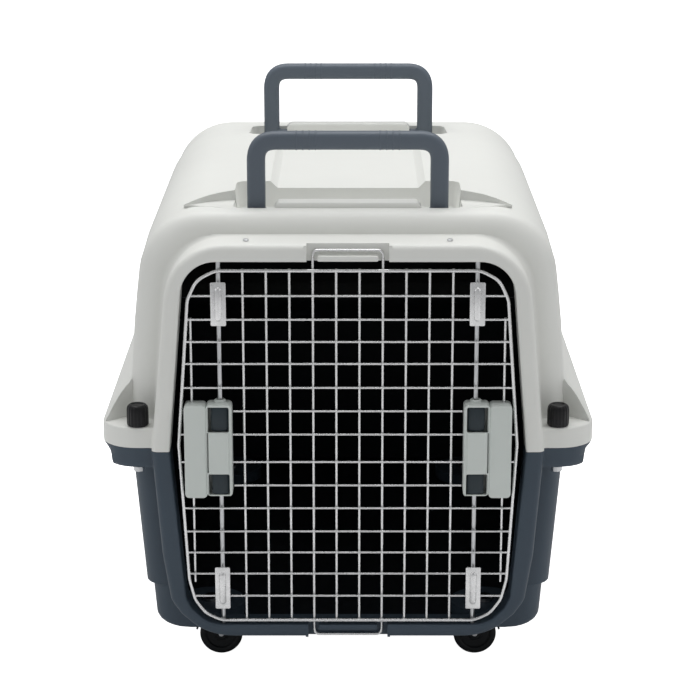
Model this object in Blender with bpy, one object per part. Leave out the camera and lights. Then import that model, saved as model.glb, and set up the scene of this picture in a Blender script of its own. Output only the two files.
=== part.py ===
"""Pet transport carrier: two moulded shells, a wire door with two squeeze latches, two folding
handles, four corner knobs and four twin-wheel swivel casters. Metres, +Z up, door towards -Y."""

import math

import bmesh
import bpy
import numpy as np
from mathutils import Vector

MM = 0.001

# Overall layout, in millimetres.
JOINT_Z = 271.0
JOINT_GAP = 0.15
WALL = 3.5
FRONT_Y = -332.5
FACE_Y = -285.0
LIP_END_Y = -300.0
REAR_Y = 314.0
MIRROR_SUM_Y = 10.0

# Flange that runs round the joint line.
RIM_HALF_WIDTH = 271.0
RIM_FRONT_Y = -318.0
RIM_REAR_Y = 342.0
RIM_CORNER = 40.0
SHELF_Z = 294.0
SILL_Z = 68.4

# Body corners: the roll from the front face to the sides, and to the roof or the floor.
ROLL_SIDE = 27.0
ROLL_TOP_Y = 18.0
ROLL_STEPS = (0.0, 33.0, 63.0, 76.0, 90.0)
REAR_ROLL_STEPS = (90.0, 79.0, 64.0, 36.0, 0.0)
REAR_SHELF_ANGLES = (20.0, 85.0)

# Roof features.
ROOF_Z = 533.0
FLOOR_Z = 46.0
RECESS_DEPTH = 30.0
PANEL_DEPTH = 8.0
RECESS_HALF = 126.0
BLOCK_HALF = 80.0
RECESS_OUTER_Y = -255.0
BLOCK_INNER_Y = -233.0
RECESS_INNER_Y = -145.0

# Notches in the door surround, with the raised block that each pull loop sits round.
NOTCH_HALF = 44.0
NOTCH_Y = -322.9
NOTCH_BLOCK_HALF = 32.5
NOTCH_BLOCK_Y = -331.5

# Door. The layers are, from the front: frame, cross wires, upright wires, latch rods.
FRAME_Y = -329.0
FRAME_R = 2.25
CROSS_Y = -329.0
CROSS_R = 1.25
UPRIGHT_Y = -325.9
UPRIGHT_R = 1.5
ROD_X = 138.5
ROD_Y = -323.9
ROD_R = 2.5
FRAME_TOP_Z = 473.1
FRAME_BOTTOM_Z = 73.2
FRAME_POINTS = (
    (141.5, FRAME_TOP_Z), (161.5, 462.7), (171.5, 441.2), (182.0, 290.0),
    (175.5, 122.0), (169.5, 98.0), (158.0, 81.5), (140.0, FRAME_BOTTOM_Z),
)
UPRIGHT_XS = (12.5, 37.5, 62.5, 87.5, 112.5)
LOOP_X = 37.5
LOOP_TOP_Z = 495.0
LOOP_BOTTOM_Z = 55.5
CROSS_ZS = (445.5, 419.3, 394.6, 370.0, 343.1, 290.2, 258.7, 205.3, 178.3, 153.6, 128.6, 102.3)
SHORT_CROSS_ZS = (316.7, 231.8)
SHORT_CROSS_HALF = 124.0
STUB_X = 169.0
STUB_ZS = (118.0, 421.0)
STUB_WELD_ZS = (128.6, 419.3)

# Latches.
LATCH_Z = 277.0
LATCH_HALF_HEIGHT = 55.5
LATCH_FRONT_Y = -342.0
LATCH_BACK_Y = -330.6
BACK_PLATE_YS = (-319.5, -317.0)
GUIDE_YS = (-332.1, -330.6)
GUIDE_HALF_WIDTH = 8.3
GUIDE_UPPER_ZS = (413.0, 461.0)
GUIDE_LOWER_ZS = (88.0, 137.0)
EYE_UPPER_ZS = (425.0, 439.0)
EYE_LOWER_ZS = (108.0, 121.0)
LATCH_XS = (125.5, 153.5)
LATCH_PLATE_X = 177.5
BOLT_TRAVEL = 12.0
ROD_TIP = 215.0

# Handles.
HANDLE_Y = -243.0
PIVOT_Z = 517.0
HANDLE_HALF = 100.0
HANDLE_TOP_Z = 608.0
HANDLE_BAR = (20.0, 17.0)
PIVOT_R = 5.0

# Knobs.
KNOB_FRONT = (230.0, -307.5)
KNOB_REAR = (252.5, 313.0)
KNOB_R = 12.0
KNOB_HEIGHT = 24.0
BOLT_R = 3.0

# Casters.
CASTER_X = 158.0
CASTER_Y = 238.0
CASTER_TRAIL = 12.0
WHEEL_R = 24.5
WHEEL_INNER = 3.2
WHEEL_OUTER = 16.0
AXLE_R = 3.0
FENDER_R = (27.4, 29.4)
WELL_R = 38.0
WELL_TOP_Z = 59.0
STEM_R = 5.0

# Side and rear ventilation slots in the upper shell.
VENT_WIDTH = 14.0
VENT_PITCH = 40.0
SIDE_VENT_ZS = (345.0, 425.0)
REAR_VENT_ZS = (360.0, 440.0)

CLEAR = 0.3

COLOURS = {
    "off_white": ((0.78, 0.79, 0.76), 0.45, 0.0),
    "slate": ((0.085, 0.10, 0.12), 0.5, 0.0),
    "handle_grey": ((0.13, 0.15, 0.18), 0.45, 0.0),
    "black": ((0.02, 0.02, 0.022), 0.5, 0.0),
    "latch_white": ((0.72, 0.74, 0.72), 0.4, 0.0),
    "zinc_wire": ((0.72, 0.73, 0.75), 0.3, 1.0),
    "steel": ((0.55, 0.56, 0.58), 0.35, 1.0),
}


# ---------------------------------------------------------------- helpers


def clear_scene():
    for obj in list(bpy.data.objects):
        bpy.data.objects.remove(obj, do_unlink=True)


def material(name):
    found = bpy.data.materials.get(name)
    if found:
        return found
    colour, roughness, metallic = COLOURS[name]
    made = bpy.data.materials.new(name)
    made.use_nodes = True
    shader = made.node_tree.nodes["Principled BSDF"]
    shader.inputs["Base Color"].default_value = (*colour, 1.0)
    shader.inputs["Roughness"].default_value = roughness
    shader.inputs["Metallic"].default_value = metallic
    return made


def make_object(name, points, faces, finish=None, origin=(0.0, 0.0, 0.0)):
    """An object whose points are in millimetres in the part's frame, with its origin at a given point."""
    shift = np.array(origin, float)
    mesh = bpy.data.meshes.new(name)
    mesh.from_pydata([tuple((np.array(p, float) - shift) * MM) for p in points], [], faces)
    work = bmesh.new()
    work.from_mesh(mesh)
    bmesh.ops.recalc_face_normals(work, faces=work.faces)
    work.to_mesh(mesh)
    work.free()
    obj = bpy.data.objects.new(name, mesh)
    obj.location = Vector(shift * MM)
    bpy.context.scene.collection.objects.link(obj)
    if finish:
        mesh.materials.append(material(finish))
        mesh.shade_smooth()
        mesh.set_sharp_from_angle(angle=math.radians(35))
    return obj


def as_helper(obj):
    obj.hide_render = True
    obj.display_type = "WIRE"
    return obj


def combine(target, helper, operation):
    """Adds a helper to a part, or cuts it away, with a Boolean modifier that stays on the part."""
    modifier = target.modifiers.new(helper.name, "BOOLEAN")
    modifier.operation = operation
    modifier.solver = "EXACT"
    modifier.object = as_helper(helper)


def box_points(low, high):
    points = [(x, y, z) for x in (low[0], high[0]) for y in (low[1], high[1]) for z in (low[2], high[2])]
    faces = [(0, 1, 3, 2), (4, 6, 7, 5), (0, 4, 5, 1), (2, 3, 7, 6), (0, 2, 6, 4), (1, 5, 7, 3)]
    return points, faces


def prism_points(outline, axis, start, end):
    """An outline of (a, b) pairs, extruded along X, Y or Z. The outline lies in the other two axes."""
    def place(a, b, c):
        return {"x": (c, a, b), "y": (a, c, b), "z": (a, b, c)}[axis]

    count = len(outline)
    points = [place(a, b, c) for c in (start, end) for a, b in outline]
    faces = [tuple(range(count)), tuple(range(2 * count - 1, count - 1, -1))]
    for i in range(count):
        j = (i + 1) % count
        faces.append((i, j, count + j, count + i))
    return points, faces


def circle(radius, count, centre=(0.0, 0.0)):
    return [
        (centre[0] + radius * math.cos(math.tau * i / count), centre[1] + radius * math.sin(math.tau * i / count))
        for i in range(count)
    ]


def lathe_points(profile, axis_point, axis, count, flute=0.0):
    """A closed (radius, distance) profile turned about an axis. Radius 0 points close on the axis."""
    points, faces, rings = [], [], []
    base = np.array(axis_point, float)
    for radius, along in profile:
        ring = []
        for i in range(count if radius > 0 else 1):
            turn = math.tau * i / count
            r = radius - (flute if flute and i % 2 and radius > 0.8 * KNOB_R else 0.0)
            a, b = r * math.cos(turn), r * math.sin(turn)
            offset = {"x": (along, a, b), "y": (b, along, a), "z": (a, b, along)}[axis]
            ring.append(len(points))
            points.append(tuple(base + np.array(offset)))
        rings.append(ring)
    closed = profile[0][0] > 0 and profile[-1][0] > 0
    pairs = list(zip(rings, rings[1:]))
    if closed:
        pairs.append((rings[-1], rings[0]))
    for first, second in pairs:
        for i in range(count):
            j = (i + 1) % count
            if len(first) == 1 and len(second) == 1:
                continue
            if len(first) == 1:
                faces.append((first[0], second[i], second[j]))
            elif len(second) == 1:
                faces.append((first[i], second[0], first[j]))
            else:
                faces.append((first[i], second[i], second[j], first[j]))
    return points, faces


def merge_shapes(shapes):
    """Joins (points, faces) pairs into one pair, without welding them."""
    points, faces = [], []
    for more_points, more_faces in shapes:
        start = len(points)
        points.extend(more_points)
        faces.extend(tuple(start + i for i in face) for face in more_faces)
    return points, faces


def sweep_points(path, section, up, closed=False):
    """A flat section of (side, up) pairs carried along a planar path, with mitred corners."""
    path = [np.array(p, float) for p in path]
    up = np.array(up, float)
    count, sides = len(path), len(section)
    points, faces = [], []
    for i, here in enumerate(path):
        before = path[i - 1] if closed or i > 0 else None
        after = path[(i + 1) % count] if closed or i < count - 1 else None
        incoming = here - before if before is not None else after - here
        outgoing = after - here if after is not None else here - before
        incoming /= np.linalg.norm(incoming)
        outgoing /= np.linalg.norm(outgoing)
        tangent = (incoming + outgoing) / np.linalg.norm(incoming + outgoing)
        side = np.cross(tangent, up)
        stretch = 1.0 / max(float(tangent @ outgoing), 0.5)
        points.extend(tuple(here + side * a * stretch + up * b) for a, b in section)
    for i in range(count if closed else count - 1):
        j = (i + 1) % count
        for k in range(sides):
            m = (k + 1) % sides
            faces.append((i * sides + k, i * sides + m, j * sides + m, j * sides + k))
    if not closed:
        faces.append(tuple(range(sides)))
        faces.append(tuple(range(count * sides - 1, (count - 1) * sides - 1, -1)))
    return points, faces


# ---------------------------------------------------------------- shell outlines


class Outline:
    """Half of an arch seen from the front: a drafted side, a corner arc and a level end.

    Heights are distances from the joint plane; direction is +1 for the upper shell, -1 for the lower.
    """

    def __init__(self, direction, half_width, slope, curve, end_z, corner, step=0.0, step_z=0.0, inset=(0.0, 0.0)):
        self.direction = direction
        self.half_width = half_width
        self.slope, self.curve = slope, curve
        self.step, self.step_z = step, step_z
        self.side_inset, end_inset = inset
        self.end_z = end_z - direction * end_inset
        self.corner = max(corner - 0.5 * self.side_inset, 8.0) if direction > 0 else corner
        tilt = 0.0
        for _ in range(8):
            self.tangent_z = self.end_z - direction * self.corner * (1.0 - math.sin(tilt))
            rise = abs(self.tangent_z - JOINT_Z)
            tilt = math.atan(slope + 2.0 * curve * rise)
        self.tilt = tilt
        self.corner_x = self.side(self.tangent_z) - self.corner * math.cos(tilt)

    def side(self, z):
        rise = abs(z - JOINT_Z)
        stepped = self.step if self.direction * (z - self.step_z) > 0 else 0.0
        return self.half_width - self.side_inset - self.slope * rise - self.curve * rise * rise - stepped

    def at_z(self, z):
        """The outline's half-width at a height, on the drafted side or on the arc."""
        if self.direction * (self.tangent_z - z) >= 0:
            return self.side(z)
        up = min(abs(z - (self.end_z - self.direction * self.corner)) / self.corner, 1.0)
        return self.corner_x + self.corner * math.sqrt(1.0 - up * up)

    def on_arc(self, angle):
        """A point on the corner arc; the angle runs from the tilt, at the side, to a right angle at the end."""
        centre_z = self.end_z - self.direction * self.corner
        return (
            self.corner_x + self.corner * math.cos(angle),
            centre_z + self.direction * self.corner * math.sin(angle),
        )

    def angle_at(self, z):
        up = abs(z - (self.end_z - self.direction * self.corner)) / self.corner
        return math.asin(min(up, 1.0)) if self.direction * (z - self.tangent_z) > 0 else self.tilt


def half_outline(outline, levels, arc_steps, end_xs):
    """Points (x, z) from the joint plane round to the middle of the level end."""
    points = [(outline.at_z(z), z) for z in levels]
    start = max(outline.angle_at(levels[-1]), outline.tilt)
    first = 0 if outline.direction * (outline.tangent_z - levels[-1]) > 1.0 else 1
    for i in range(first, arc_steps + 1):
        points.append(outline.on_arc(start + (math.pi / 2 - start) * i / arc_steps))
    if first:
        points.insert(len(levels), outline.on_arc(start + (math.pi / 2 - start) * 0.5 / arc_steps))
    points.extend((x, outline.end_z) for x in end_xs)
    return points


def nearest_on(path, point):
    """The point of a polyline nearest to a given point."""
    best, best_distance = None, float("inf")
    for a, b in zip(path, path[1:]):
        ax, az = a
        dx, dz = b[0] - ax, b[1] - az
        length = dx * dx + dz * dz
        if length == 0.0:
            continue
        t = min(max(((point[0] - ax) * dx + (point[1] - az) * dz) / length, 0.0), 1.0)
        x, z = ax + t * dx, az + t * dz
        distance = (x - point[0]) ** 2 + (z - point[1]) ** 2
        if distance < best_distance:
            best, best_distance = (x, z), distance
    return best


def shell_spec(direction):
    """The outlines and sampling heights of the upper (+1) or the lower (-1) shell."""
    joint = JOINT_Z + direction * JOINT_GAP
    if direction > 0:
        body = dict(half_width=243.0, slope=0.0218, curve=0.00029, end_z=ROOF_Z, corner=75.0)
        return {
            "direction": 1,
            "joint": joint,
            "opening": Outline(1, 194.0, 0.084, 0.0, 483.0, 38.0),
            "band": Outline(1, 214.0, 0.0994, 0.0, 502.0, 65.0),
            "body": body,
            "end_inset": 28.0,
            "roll_end_y": ROLL_TOP_Y,
            "plain": (joint, 292.0, 300.0, 335.0, 400.0),
            "front_rim": ((joint, 1.0), (SHELF_Z, 1.0), (SHELF_Z, 0.0), (335.0, 0.0), (400.0, 0.0)),
            "side_rim": ((joint, 1.0), (292.0, 1.0), (322.0, 0.42), (335.0, 0.0), (400.0, 0.0)),
            "arc_steps": 4,
            "end_xs": (100.0,),
        }
    body = dict(half_width=243.0, slope=0.082, curve=0.0, end_z=FLOOR_Z, corner=14.0, step=7.0, step_z=96.0)
    return {
        "direction": -1,
        "joint": joint,
        "opening": Outline(-1, 194.0, 0.066, 0.0001, SILL_Z, 43.0),
        "band": Outline(-1, 214.0, 0.078, 0.0, 53.6, 75.0),
        "body": body,
        "end_inset": 0.0,
        "roll_end_y": ROLL_SIDE,
        "plain": (joint, 264.0, 255.0, 247.5, 243.0, 150.0, 98.0, 94.0, 78.0, 67.5),
        "front_rim": tuple(zip((joint, 264.0, 255.0, 247.5, 247.5, 150.0, 98.0, 94.0, 78.0, 67.5),
                               (1.0, 0.98, 0.95, 0.92, 0.0, 0.0, 0.0, 0.0, 0.0, 0.0))),
        "side_rim": tuple(zip((joint, 264.0, 255.0, 247.5, 247.5, 150.0, 98.0, 94.0, 78.0, 67.5),
                              (1.0, 0.88, 0.5, 0.29, 0.0, 0.0, 0.0, 0.0, 0.0, 0.0))),
        "arc_steps": 4,
        "end_xs": (64.0,),
    }


def surround_rows(spec):
    """Rows of the door surround, from its inner lip to its outer edge."""
    count = len(spec["plain"])
    arcs = spec["arc_steps"]
    outer = half_outline(spec["band"], spec["plain"], arcs, spec["end_xs"])
    fine = half_outline(spec["opening"], (spec["joint"],), 24, (0.0,))
    inner = [nearest_on(fine, p) for p in outer]
    inner[0] = (spec["opening"].at_z(spec["joint"]), spec["joint"])
    inner[-len(spec["end_xs"]):] = [(x, spec["opening"].end_z) for x in spec["end_xs"]]
    rows = [
        [(x, LIP_END_Y, z) for x, z in inner],
        [(x, FRONT_Y, z) for x, z in inner],
        [(x, FRONT_Y, z) for x, z in outer],
    ]
    base = list(outer)
    for i, (z, _) in enumerate(spec["front_rim"]):
        base[i] = (spec["band"].at_z(z), z)
    row = []
    for i, (x, z) in enumerate(base):
        q = spec["front_rim"][i][1] if i < count else 0.0
        row.append((x, FACE_Y + q * (RIM_FRONT_Y - FACE_Y), z))
    rows.append(row)
    return rows


def body_row(spec, angle, y_side, y_end, rim_point, levels):
    """One row of the body. The angle is 0 where the body faces along Y and 90 where it faces along X."""
    inset = 1.0 - math.sin(math.radians(angle))
    outline = Outline(spec["direction"], inset=(ROLL_SIDE * inset, spec["end_inset"] * inset), **spec["body"])
    half = half_outline(outline, [z for z, _ in levels], spec["arc_steps"], spec["end_xs"])
    row = []
    last_side = len(levels) - 1
    arc_count = len(half) - len(levels) - len(spec["end_xs"])
    for i, (x, z) in enumerate(half):
        if i <= last_side:
            q = levels[i][1]
            row.append((x + q * (rim_point[0] - x), y_side + q * (rim_point[1] - y_side), z))
            continue
        blend = min((i - last_side) / max(arc_count, 1), 1.0)
        y = y_side + blend * (y_end - y_side)
        row.append((x, y, z))
    return row


def body_rows(spec):
    """Rows of the body from the front face, over the corners and sides, to the rear face."""
    rows = []
    end_roll = spec["roll_end_y"]
    for angle in ROLL_STEPS:
        s, c = math.sin(math.radians(angle)), math.cos(math.radians(angle))
        rim = (RIM_HALF_WIDTH - RIM_CORNER * (1 - s), RIM_FRONT_Y + RIM_CORNER * (1 - c))
        levels = spec["front_rim"] if angle < 70.0 else spec["side_rim"]
        rows.append(body_row(spec, angle, FACE_Y + ROLL_SIDE * (1 - c), FACE_Y + end_roll * (1 - c), rim, levels))
    for y in (-200.0, 200.0):
        rows.append(body_row(spec, 90.0, y, y, (RIM_HALF_WIDTH, y), spec["side_rim"]))
    for angle in REAR_ROLL_STEPS:
        s, c = math.sin(math.radians(angle)), math.cos(math.radians(angle))
        rim = (RIM_HALF_WIDTH - RIM_CORNER * (1 - s), RIM_REAR_Y - RIM_CORNER * (1 - c))
        on_shelf = REAR_SHELF_ANGLES[0] < angle < REAR_SHELF_ANGLES[1]
        levels = spec["front_rim"] if on_shelf else spec["side_rim"]
        rows.append(body_row(spec, angle, REAR_Y - ROLL_SIDE * (1 - c), REAR_Y - end_roll * (1 - c), rim, levels))
    return rows


def shell_surface(spec):
    """The outer surface as points and outward-facing quads, with the indices on the joint plane."""
    rows = surround_rows(spec) + body_rows(spec)
    half = len(rows[0])
    columns = 2 * half
    points, faces, joint = [], [], []
    for row in rows:
        joint.extend((len(points), len(points) + columns - 1))
        points.extend(row)
        points.extend((-x, y, z) for x, y, z in reversed(row))
    for r in range(len(rows) - 1):
        for c in range(columns - 1):
            a, b = r * columns + c, (r + 1) * columns + c
            faces.append((a, a + 1, b + 1, b))
    # The rear face is a grid whose edges are the last row's points.
    base = (len(rows) - 1) * columns
    ends = len(spec["end_xs"])
    across = 2 * ends
    side_count = half - ends
    widest = rows[-1][side_count - 1][0]
    fractions = [1.0] + [x / widest for x in spec["end_xs"]]
    fractions += [-f for f in reversed(fractions)]
    grid = []
    for j in range(side_count - 1):
        x, y, z = rows[-1][j]
        line = [base + j]
        for f in fractions[1:-1]:
            line.append(len(points))
            points.append((x * f, y, z))
        line.append(base + columns - 1 - j)
        if j == 0:
            joint.extend(line)
        grid.append(line)
    top = [base + side_count - 1 + i for i in range(ends + 1)]
    top += [base + columns - 1 - (side_count - 1 + i) for i in range(ends, -1, -1)]
    grid.append(top)
    for lower, upper in zip(grid, grid[1:]):
        for i in range(across + 1):
            faces.append((lower[i], upper[i], upper[i + 1], lower[i + 1]))
    return np.array(points, float), faces, set(joint)


def thicken(points, faces, joint, wall):
    """Gives a surface a wall on its inner side. Each inner point keeps the wall to every face it touches."""
    normals = {}
    for face in faces:
        p = points[list(face)]
        normal = np.cross(p[2] - p[0], p[3] - p[1])
        length = np.linalg.norm(normal)
        if length > 1e-9:
            for i in face:
                normals.setdefault(i, []).append(normal / length)
    inner = points.copy()
    for i, around in normals.items():
        stack = np.array(around)
        if i in joint:
            stack[:, 2] = 0.0
            stack /= np.linalg.norm(stack, axis=1)[:, None]
        shift = np.linalg.pinv(stack, rcond=0.2) @ np.full(len(stack), wall)
        inner[i] -= shift
    count = len(points)
    edges = {}
    for face in faces:
        for a, b in zip(face, face[1:] + face[:1]):
            edges[(a, b)] = True
    closed = list(faces) + [tuple(count + i for i in reversed(face)) for face in faces]
    for a, b in edges:
        if (b, a) not in edges:
            closed.append((b, a, count + a, count + b))
    return np.vstack([points, inner]), closed


def make_shell(name, direction, finish):
    spec = shell_spec(direction)
    points, faces, joint = shell_surface(spec)
    centre = points.mean(axis=0)
    volume = sum(float(np.dot(points[f[0]] - centre, np.cross(points[f[1]] - centre, points[f[2]] - centre)))
                 for f in faces)
    if volume < 0:
        faces = [tuple(reversed(f)) for f in faces]
    return make_object(name, *thicken(points, faces, joint, WALL), finish)


# ---------------------------------------------------------------- shells and their openings


def corner_bolts():
    spots = []
    for end, (x, y) in (("front", KNOB_FRONT), ("rear", KNOB_REAR)):
        for side, sign in (("left", -1), ("right", 1)):
            spots.append((f"{end}_{side}", sign * x, y))
    return spots


def caster_spots():
    return [
        (f"{end}_{side}", sx * CASTER_X, sy * CASTER_Y, sx)
        for end, sy in (("front", -1), ("rear", 1))
        for side, sx in (("left", -1), ("right", 1))
    ]


def bolt_hole_helper(name):
    holes = [prism_points(circle(BOLT_R + CLEAR, 8, (x, y)), "z", 235.0, 305.0) for _, x, y in corner_bolts()]
    return make_object(name, *merge_shapes(holes))


def rod_keep_helper(name, low_z, high_z):
    """A square hole for the left rod, which is the hinge, and a front-open slot for the right one."""
    reach = ROD_R + 0.7
    hole = box_points((-ROD_X - reach, ROD_Y - reach, low_z), (-ROD_X + reach, ROD_Y + reach, high_z))
    slot = box_points((ROD_X - reach, FRONT_Y - 8.0, low_z), (ROD_X + reach, ROD_Y + reach, high_z))
    return make_object(name, *merge_shapes([hole, slot]))


def cut_notch(shell, name, edge_z, outer_z):
    """Steps the door surround back for a pull loop, and leaves the block that the loop sits round."""
    low, high = sorted((edge_z, outer_z))
    inward = 1.0 if edge_z < outer_z else -1.0
    pocket = box_points((-NOTCH_HALF - WALL, FRONT_Y + 0.5, low + 0.5), (NOTCH_HALF + WALL, NOTCH_Y + WALL, high - 0.5))
    combine(shell, make_object(f"add_{name}_pocket", *pocket), "UNION")
    gap = box_points((-NOTCH_HALF, FRONT_Y - 6.0, low - 9.0), (NOTCH_HALF, NOTCH_Y, high + 9.0))
    combine(shell, make_object(f"cut_{name}", *gap), "DIFFERENCE")
    zs = sorted((edge_z + inward * 0.4, edge_z + inward * 6.6))
    block = box_points((-NOTCH_BLOCK_HALF, NOTCH_BLOCK_Y, zs[0]), (NOTCH_BLOCK_HALF, NOTCH_Y + 1.0, zs[1]))
    combine(shell, make_object(f"add_{name}_block", *block), "UNION")


def sink_roof(shell, name, half_width, ys, floor_z):
    """Presses a rectangular hollow into the roof, with its own wall below and round it."""
    liner = box_points((-half_width - WALL, ys[0] - WALL, floor_z - WALL), (half_width + WALL, ys[1] + WALL, ROOF_Z - 1.5))
    combine(shell, make_object(f"add_{name}_liner", *liner), "UNION")


def open_roof(shell, name, half_width, ys, floor_z):
    """Cuts the space of a roof hollow out of its liner and the roof."""
    space = box_points((-half_width, ys[0], floor_z), (half_width, ys[1], ROOF_Z + 20.0))
    combine(shell, make_object(f"cut_{name}", *space), "DIFFERENCE")


def shape_roof(shell):
    """Handle recesses with a block between the grips, and the shallow panel between them."""
    floor = ROOF_Z - RECESS_DEPTH
    front = (RECESS_OUTER_Y, RECESS_INNER_Y)
    rear = (MIRROR_SUM_Y - RECESS_INNER_Y, MIRROR_SUM_Y - RECESS_OUTER_Y)
    panel = (RECESS_INNER_Y - 1.0, MIRROR_SUM_Y - RECESS_INNER_Y + 1.0)
    sink_roof(shell, "front_recess", RECESS_HALF, front, floor)
    sink_roof(shell, "rear_recess", RECESS_HALF, rear, floor)
    sink_roof(shell, "panel", BLOCK_HALF, panel, ROOF_Z - PANEL_DEPTH)
    open_roof(shell, "front_recess", RECESS_HALF, front, floor)
    open_roof(shell, "rear_recess", RECESS_HALF, rear, floor)
    open_roof(shell, "panel", BLOCK_HALF, panel, ROOF_Z - PANEL_DEPTH)
    blocks, hollows = [], []
    for ys in ((RECESS_OUTER_Y, BLOCK_INNER_Y), (MIRROR_SUM_Y - BLOCK_INNER_Y, MIRROR_SUM_Y - RECESS_OUTER_Y)):
        blocks.append(box_points((-BLOCK_HALF, ys[0] - 1.5, floor - 1.0), (BLOCK_HALF, ys[1] + 1.5, ROOF_Z - 0.4)))
        hollows.append(box_points((-BLOCK_HALF + WALL, ys[0] + WALL, floor - 20.0),
                                  (BLOCK_HALF - WALL, ys[1] - WALL, ROOF_Z - WALL)))
    combine(shell, make_object("add_blocks", *merge_shapes(blocks)), "UNION")
    combine(shell, make_object("cut_block_hollows", *merge_shapes(hollows)), "DIFFERENCE")


def make_upper_shell():
    shell = make_shell("upper_shell", 1, "off_white")
    cut_notch(shell, "lintel_notch", 483.0, 502.0)
    shape_roof(shell)
    slots = []
    for sign in (-1, 1):
        for i in range(8):
            y = (i - 3.5) * VENT_PITCH
            low, high = sorted((sign * 222.0, sign * 252.0))
            slots.append(box_points((low, y - VENT_WIDTH / 2, SIDE_VENT_ZS[0]),
                                    (high, y + VENT_WIDTH / 2, SIDE_VENT_ZS[1])))
    for i in range(5):
        x = (i - 2) * VENT_PITCH
        slots.append(box_points((x - VENT_WIDTH / 2, REAR_Y - 12.0, REAR_VENT_ZS[0]),
                                (x + VENT_WIDTH / 2, REAR_Y + 8.0, REAR_VENT_ZS[1])))
    combine(shell, make_object("cut_vents", *merge_shapes(slots)), "DIFFERENCE")
    combine(shell, bolt_hole_helper("cut_upper_bolts"), "DIFFERENCE")
    combine(shell, rod_keep_helper("cut_lintel_keeps", 478.0, 493.5), "DIFFERENCE")
    pivots = [prism_points(circle(PIVOT_R + CLEAR, 12, (y, PIVOT_Z)), "x", -88.0, 88.0)
              for y in (HANDLE_Y, MIRROR_SUM_Y - HANDLE_Y)]
    combine(shell, make_object("cut_pivots", *merge_shapes(pivots)), "DIFFERENCE")
    screws = [prism_points(circle(1.8, 8, (sx * 109.0, -312.5)), "z", 495.0, 508.0) for sx in (-1, 1)]
    combine(shell, make_object("cut_screws", *merge_shapes(screws)), "DIFFERENCE")
    return shell


def make_lower_shell():
    shell = make_shell("lower_shell", -1, "slate")
    cut_notch(shell, "sill_notch", SILL_Z, 53.6)
    caps, wells = [], []
    for _, x, y, _ in caster_spots():
        caps.append(prism_points(circle(WELL_R + WALL, 16, (x, y)), "z", FLOOR_Z + 1.5, WELL_TOP_Z + WALL))
        wells.append(prism_points(circle(WELL_R, 16, (x, y)), "z", 40.0, WELL_TOP_Z))
    stems = [prism_points(circle(9.0 + CLEAR, 12, (x, y)), "z", 55.0, 70.0) for _, x, y, _ in caster_spots()]
    combine(shell, make_object("add_well_caps", *merge_shapes(caps)), "UNION")
    combine(shell, make_object("cut_wells", *merge_shapes(wells)), "DIFFERENCE")
    combine(shell, make_object("cut_stems", *merge_shapes(stems)), "DIFFERENCE")
    combine(shell, bolt_hole_helper("cut_lower_bolts"), "DIFFERENCE")
    combine(shell, rod_keep_helper("cut_sill_keeps", 60.5, 75.0), "DIFFERENCE")
    return shell


# ---------------------------------------------------------------- door


def frame_half_width(z):
    """The door frame's half-width at a height."""
    sides = FRAME_POINTS
    for (xa, za), (xb, zb) in zip(sides, sides[1:]):
        if zb <= z <= za:
            return xa + (xb - xa) * (za - z) / (za - zb)
    return sides[0][0]


def square_bar(start, end, half):
    low = [min(a, b) - (half if a == b else 0.0) for a, b in zip(start, end)]
    high = [max(a, b) + (half if a == b else 0.0) for a, b in zip(start, end)]
    return box_points(low, high)


def make_door():
    right = [(x, FRAME_Y, z) for x, z in FRAME_POINTS]
    path = right + [(-x, y, z) for x, y, z in reversed(right)]
    door = make_object("door_grid", *sweep_points(path, circle(FRAME_R, 8), (0, 1, 0), closed=True),
                       "zinc_wire", origin=(-ROD_X, ROD_Y, 0.0))
    uprights = []
    for x in (s * x for x in UPRIGHT_XS for s in (-1, 1)):
        if abs(x) == LOOP_X:
            continue
        uprights.append(square_bar((x, UPRIGHT_Y, FRAME_BOTTOM_Z), (x, UPRIGHT_Y, FRAME_TOP_Z), UPRIGHT_R))
    for sign in (-1, 1):
        uprights.append(square_bar((sign * STUB_X, UPRIGHT_Y, STUB_ZS[0]),
                                   (sign * STUB_X, UPRIGHT_Y, STUB_ZS[1]), UPRIGHT_R))
    bend = 6.0
    half = UPRIGHT_R
    loop = [(LOOP_X, LOOP_TOP_Z - bend), (LOOP_X - bend, LOOP_TOP_Z)]
    loop += [(-x, z) for x, z in reversed(loop)]
    loop += [(-LOOP_X, LOOP_BOTTOM_Z + bend), (-LOOP_X + bend, LOOP_BOTTOM_Z)]
    loop += [(LOOP_X - bend, LOOP_BOTTOM_Z), (LOOP_X, LOOP_BOTTOM_Z + bend)]
    square = [(-half, -half), (half, -half), (half, half), (-half, half)]
    uprights.append(sweep_points([(x, UPRIGHT_Y, z) for x, z in loop], square, (0, 1, 0), closed=True))
    combine(door, make_object("add_uprights", *merge_shapes(uprights)), "UNION")
    crosses = []
    for z in CROSS_ZS:
        reach = frame_half_width(z)
        crosses.append(square_bar((-reach, CROSS_Y, z), (reach, CROSS_Y, z), CROSS_R))
    for z in SHORT_CROSS_ZS:
        crosses.append(square_bar((-SHORT_CROSS_HALF, CROSS_Y, z), (SHORT_CROSS_HALF, CROSS_Y, z), CROSS_R))
    combine(door, make_object("add_crosses", *merge_shapes(crosses)), "UNION")
    spots = [(STUB_X, z) for z in STUB_WELD_ZS] + [(UPRIGHT_XS[-1], z) for z in SHORT_CROSS_ZS]
    welds = [box_points((s * x - 1.0, CROSS_Y, z - 0.8), (s * x + 1.0, UPRIGHT_Y, z + 0.8))
             for x, z in spots for s in (-1, 1)]
    combine(door, make_object("add_welds", *merge_shapes(welds)), "UNION")
    return door


def mirrored(points, sign):
    return [(x * sign, y, z) for x, y, z in points]


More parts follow.
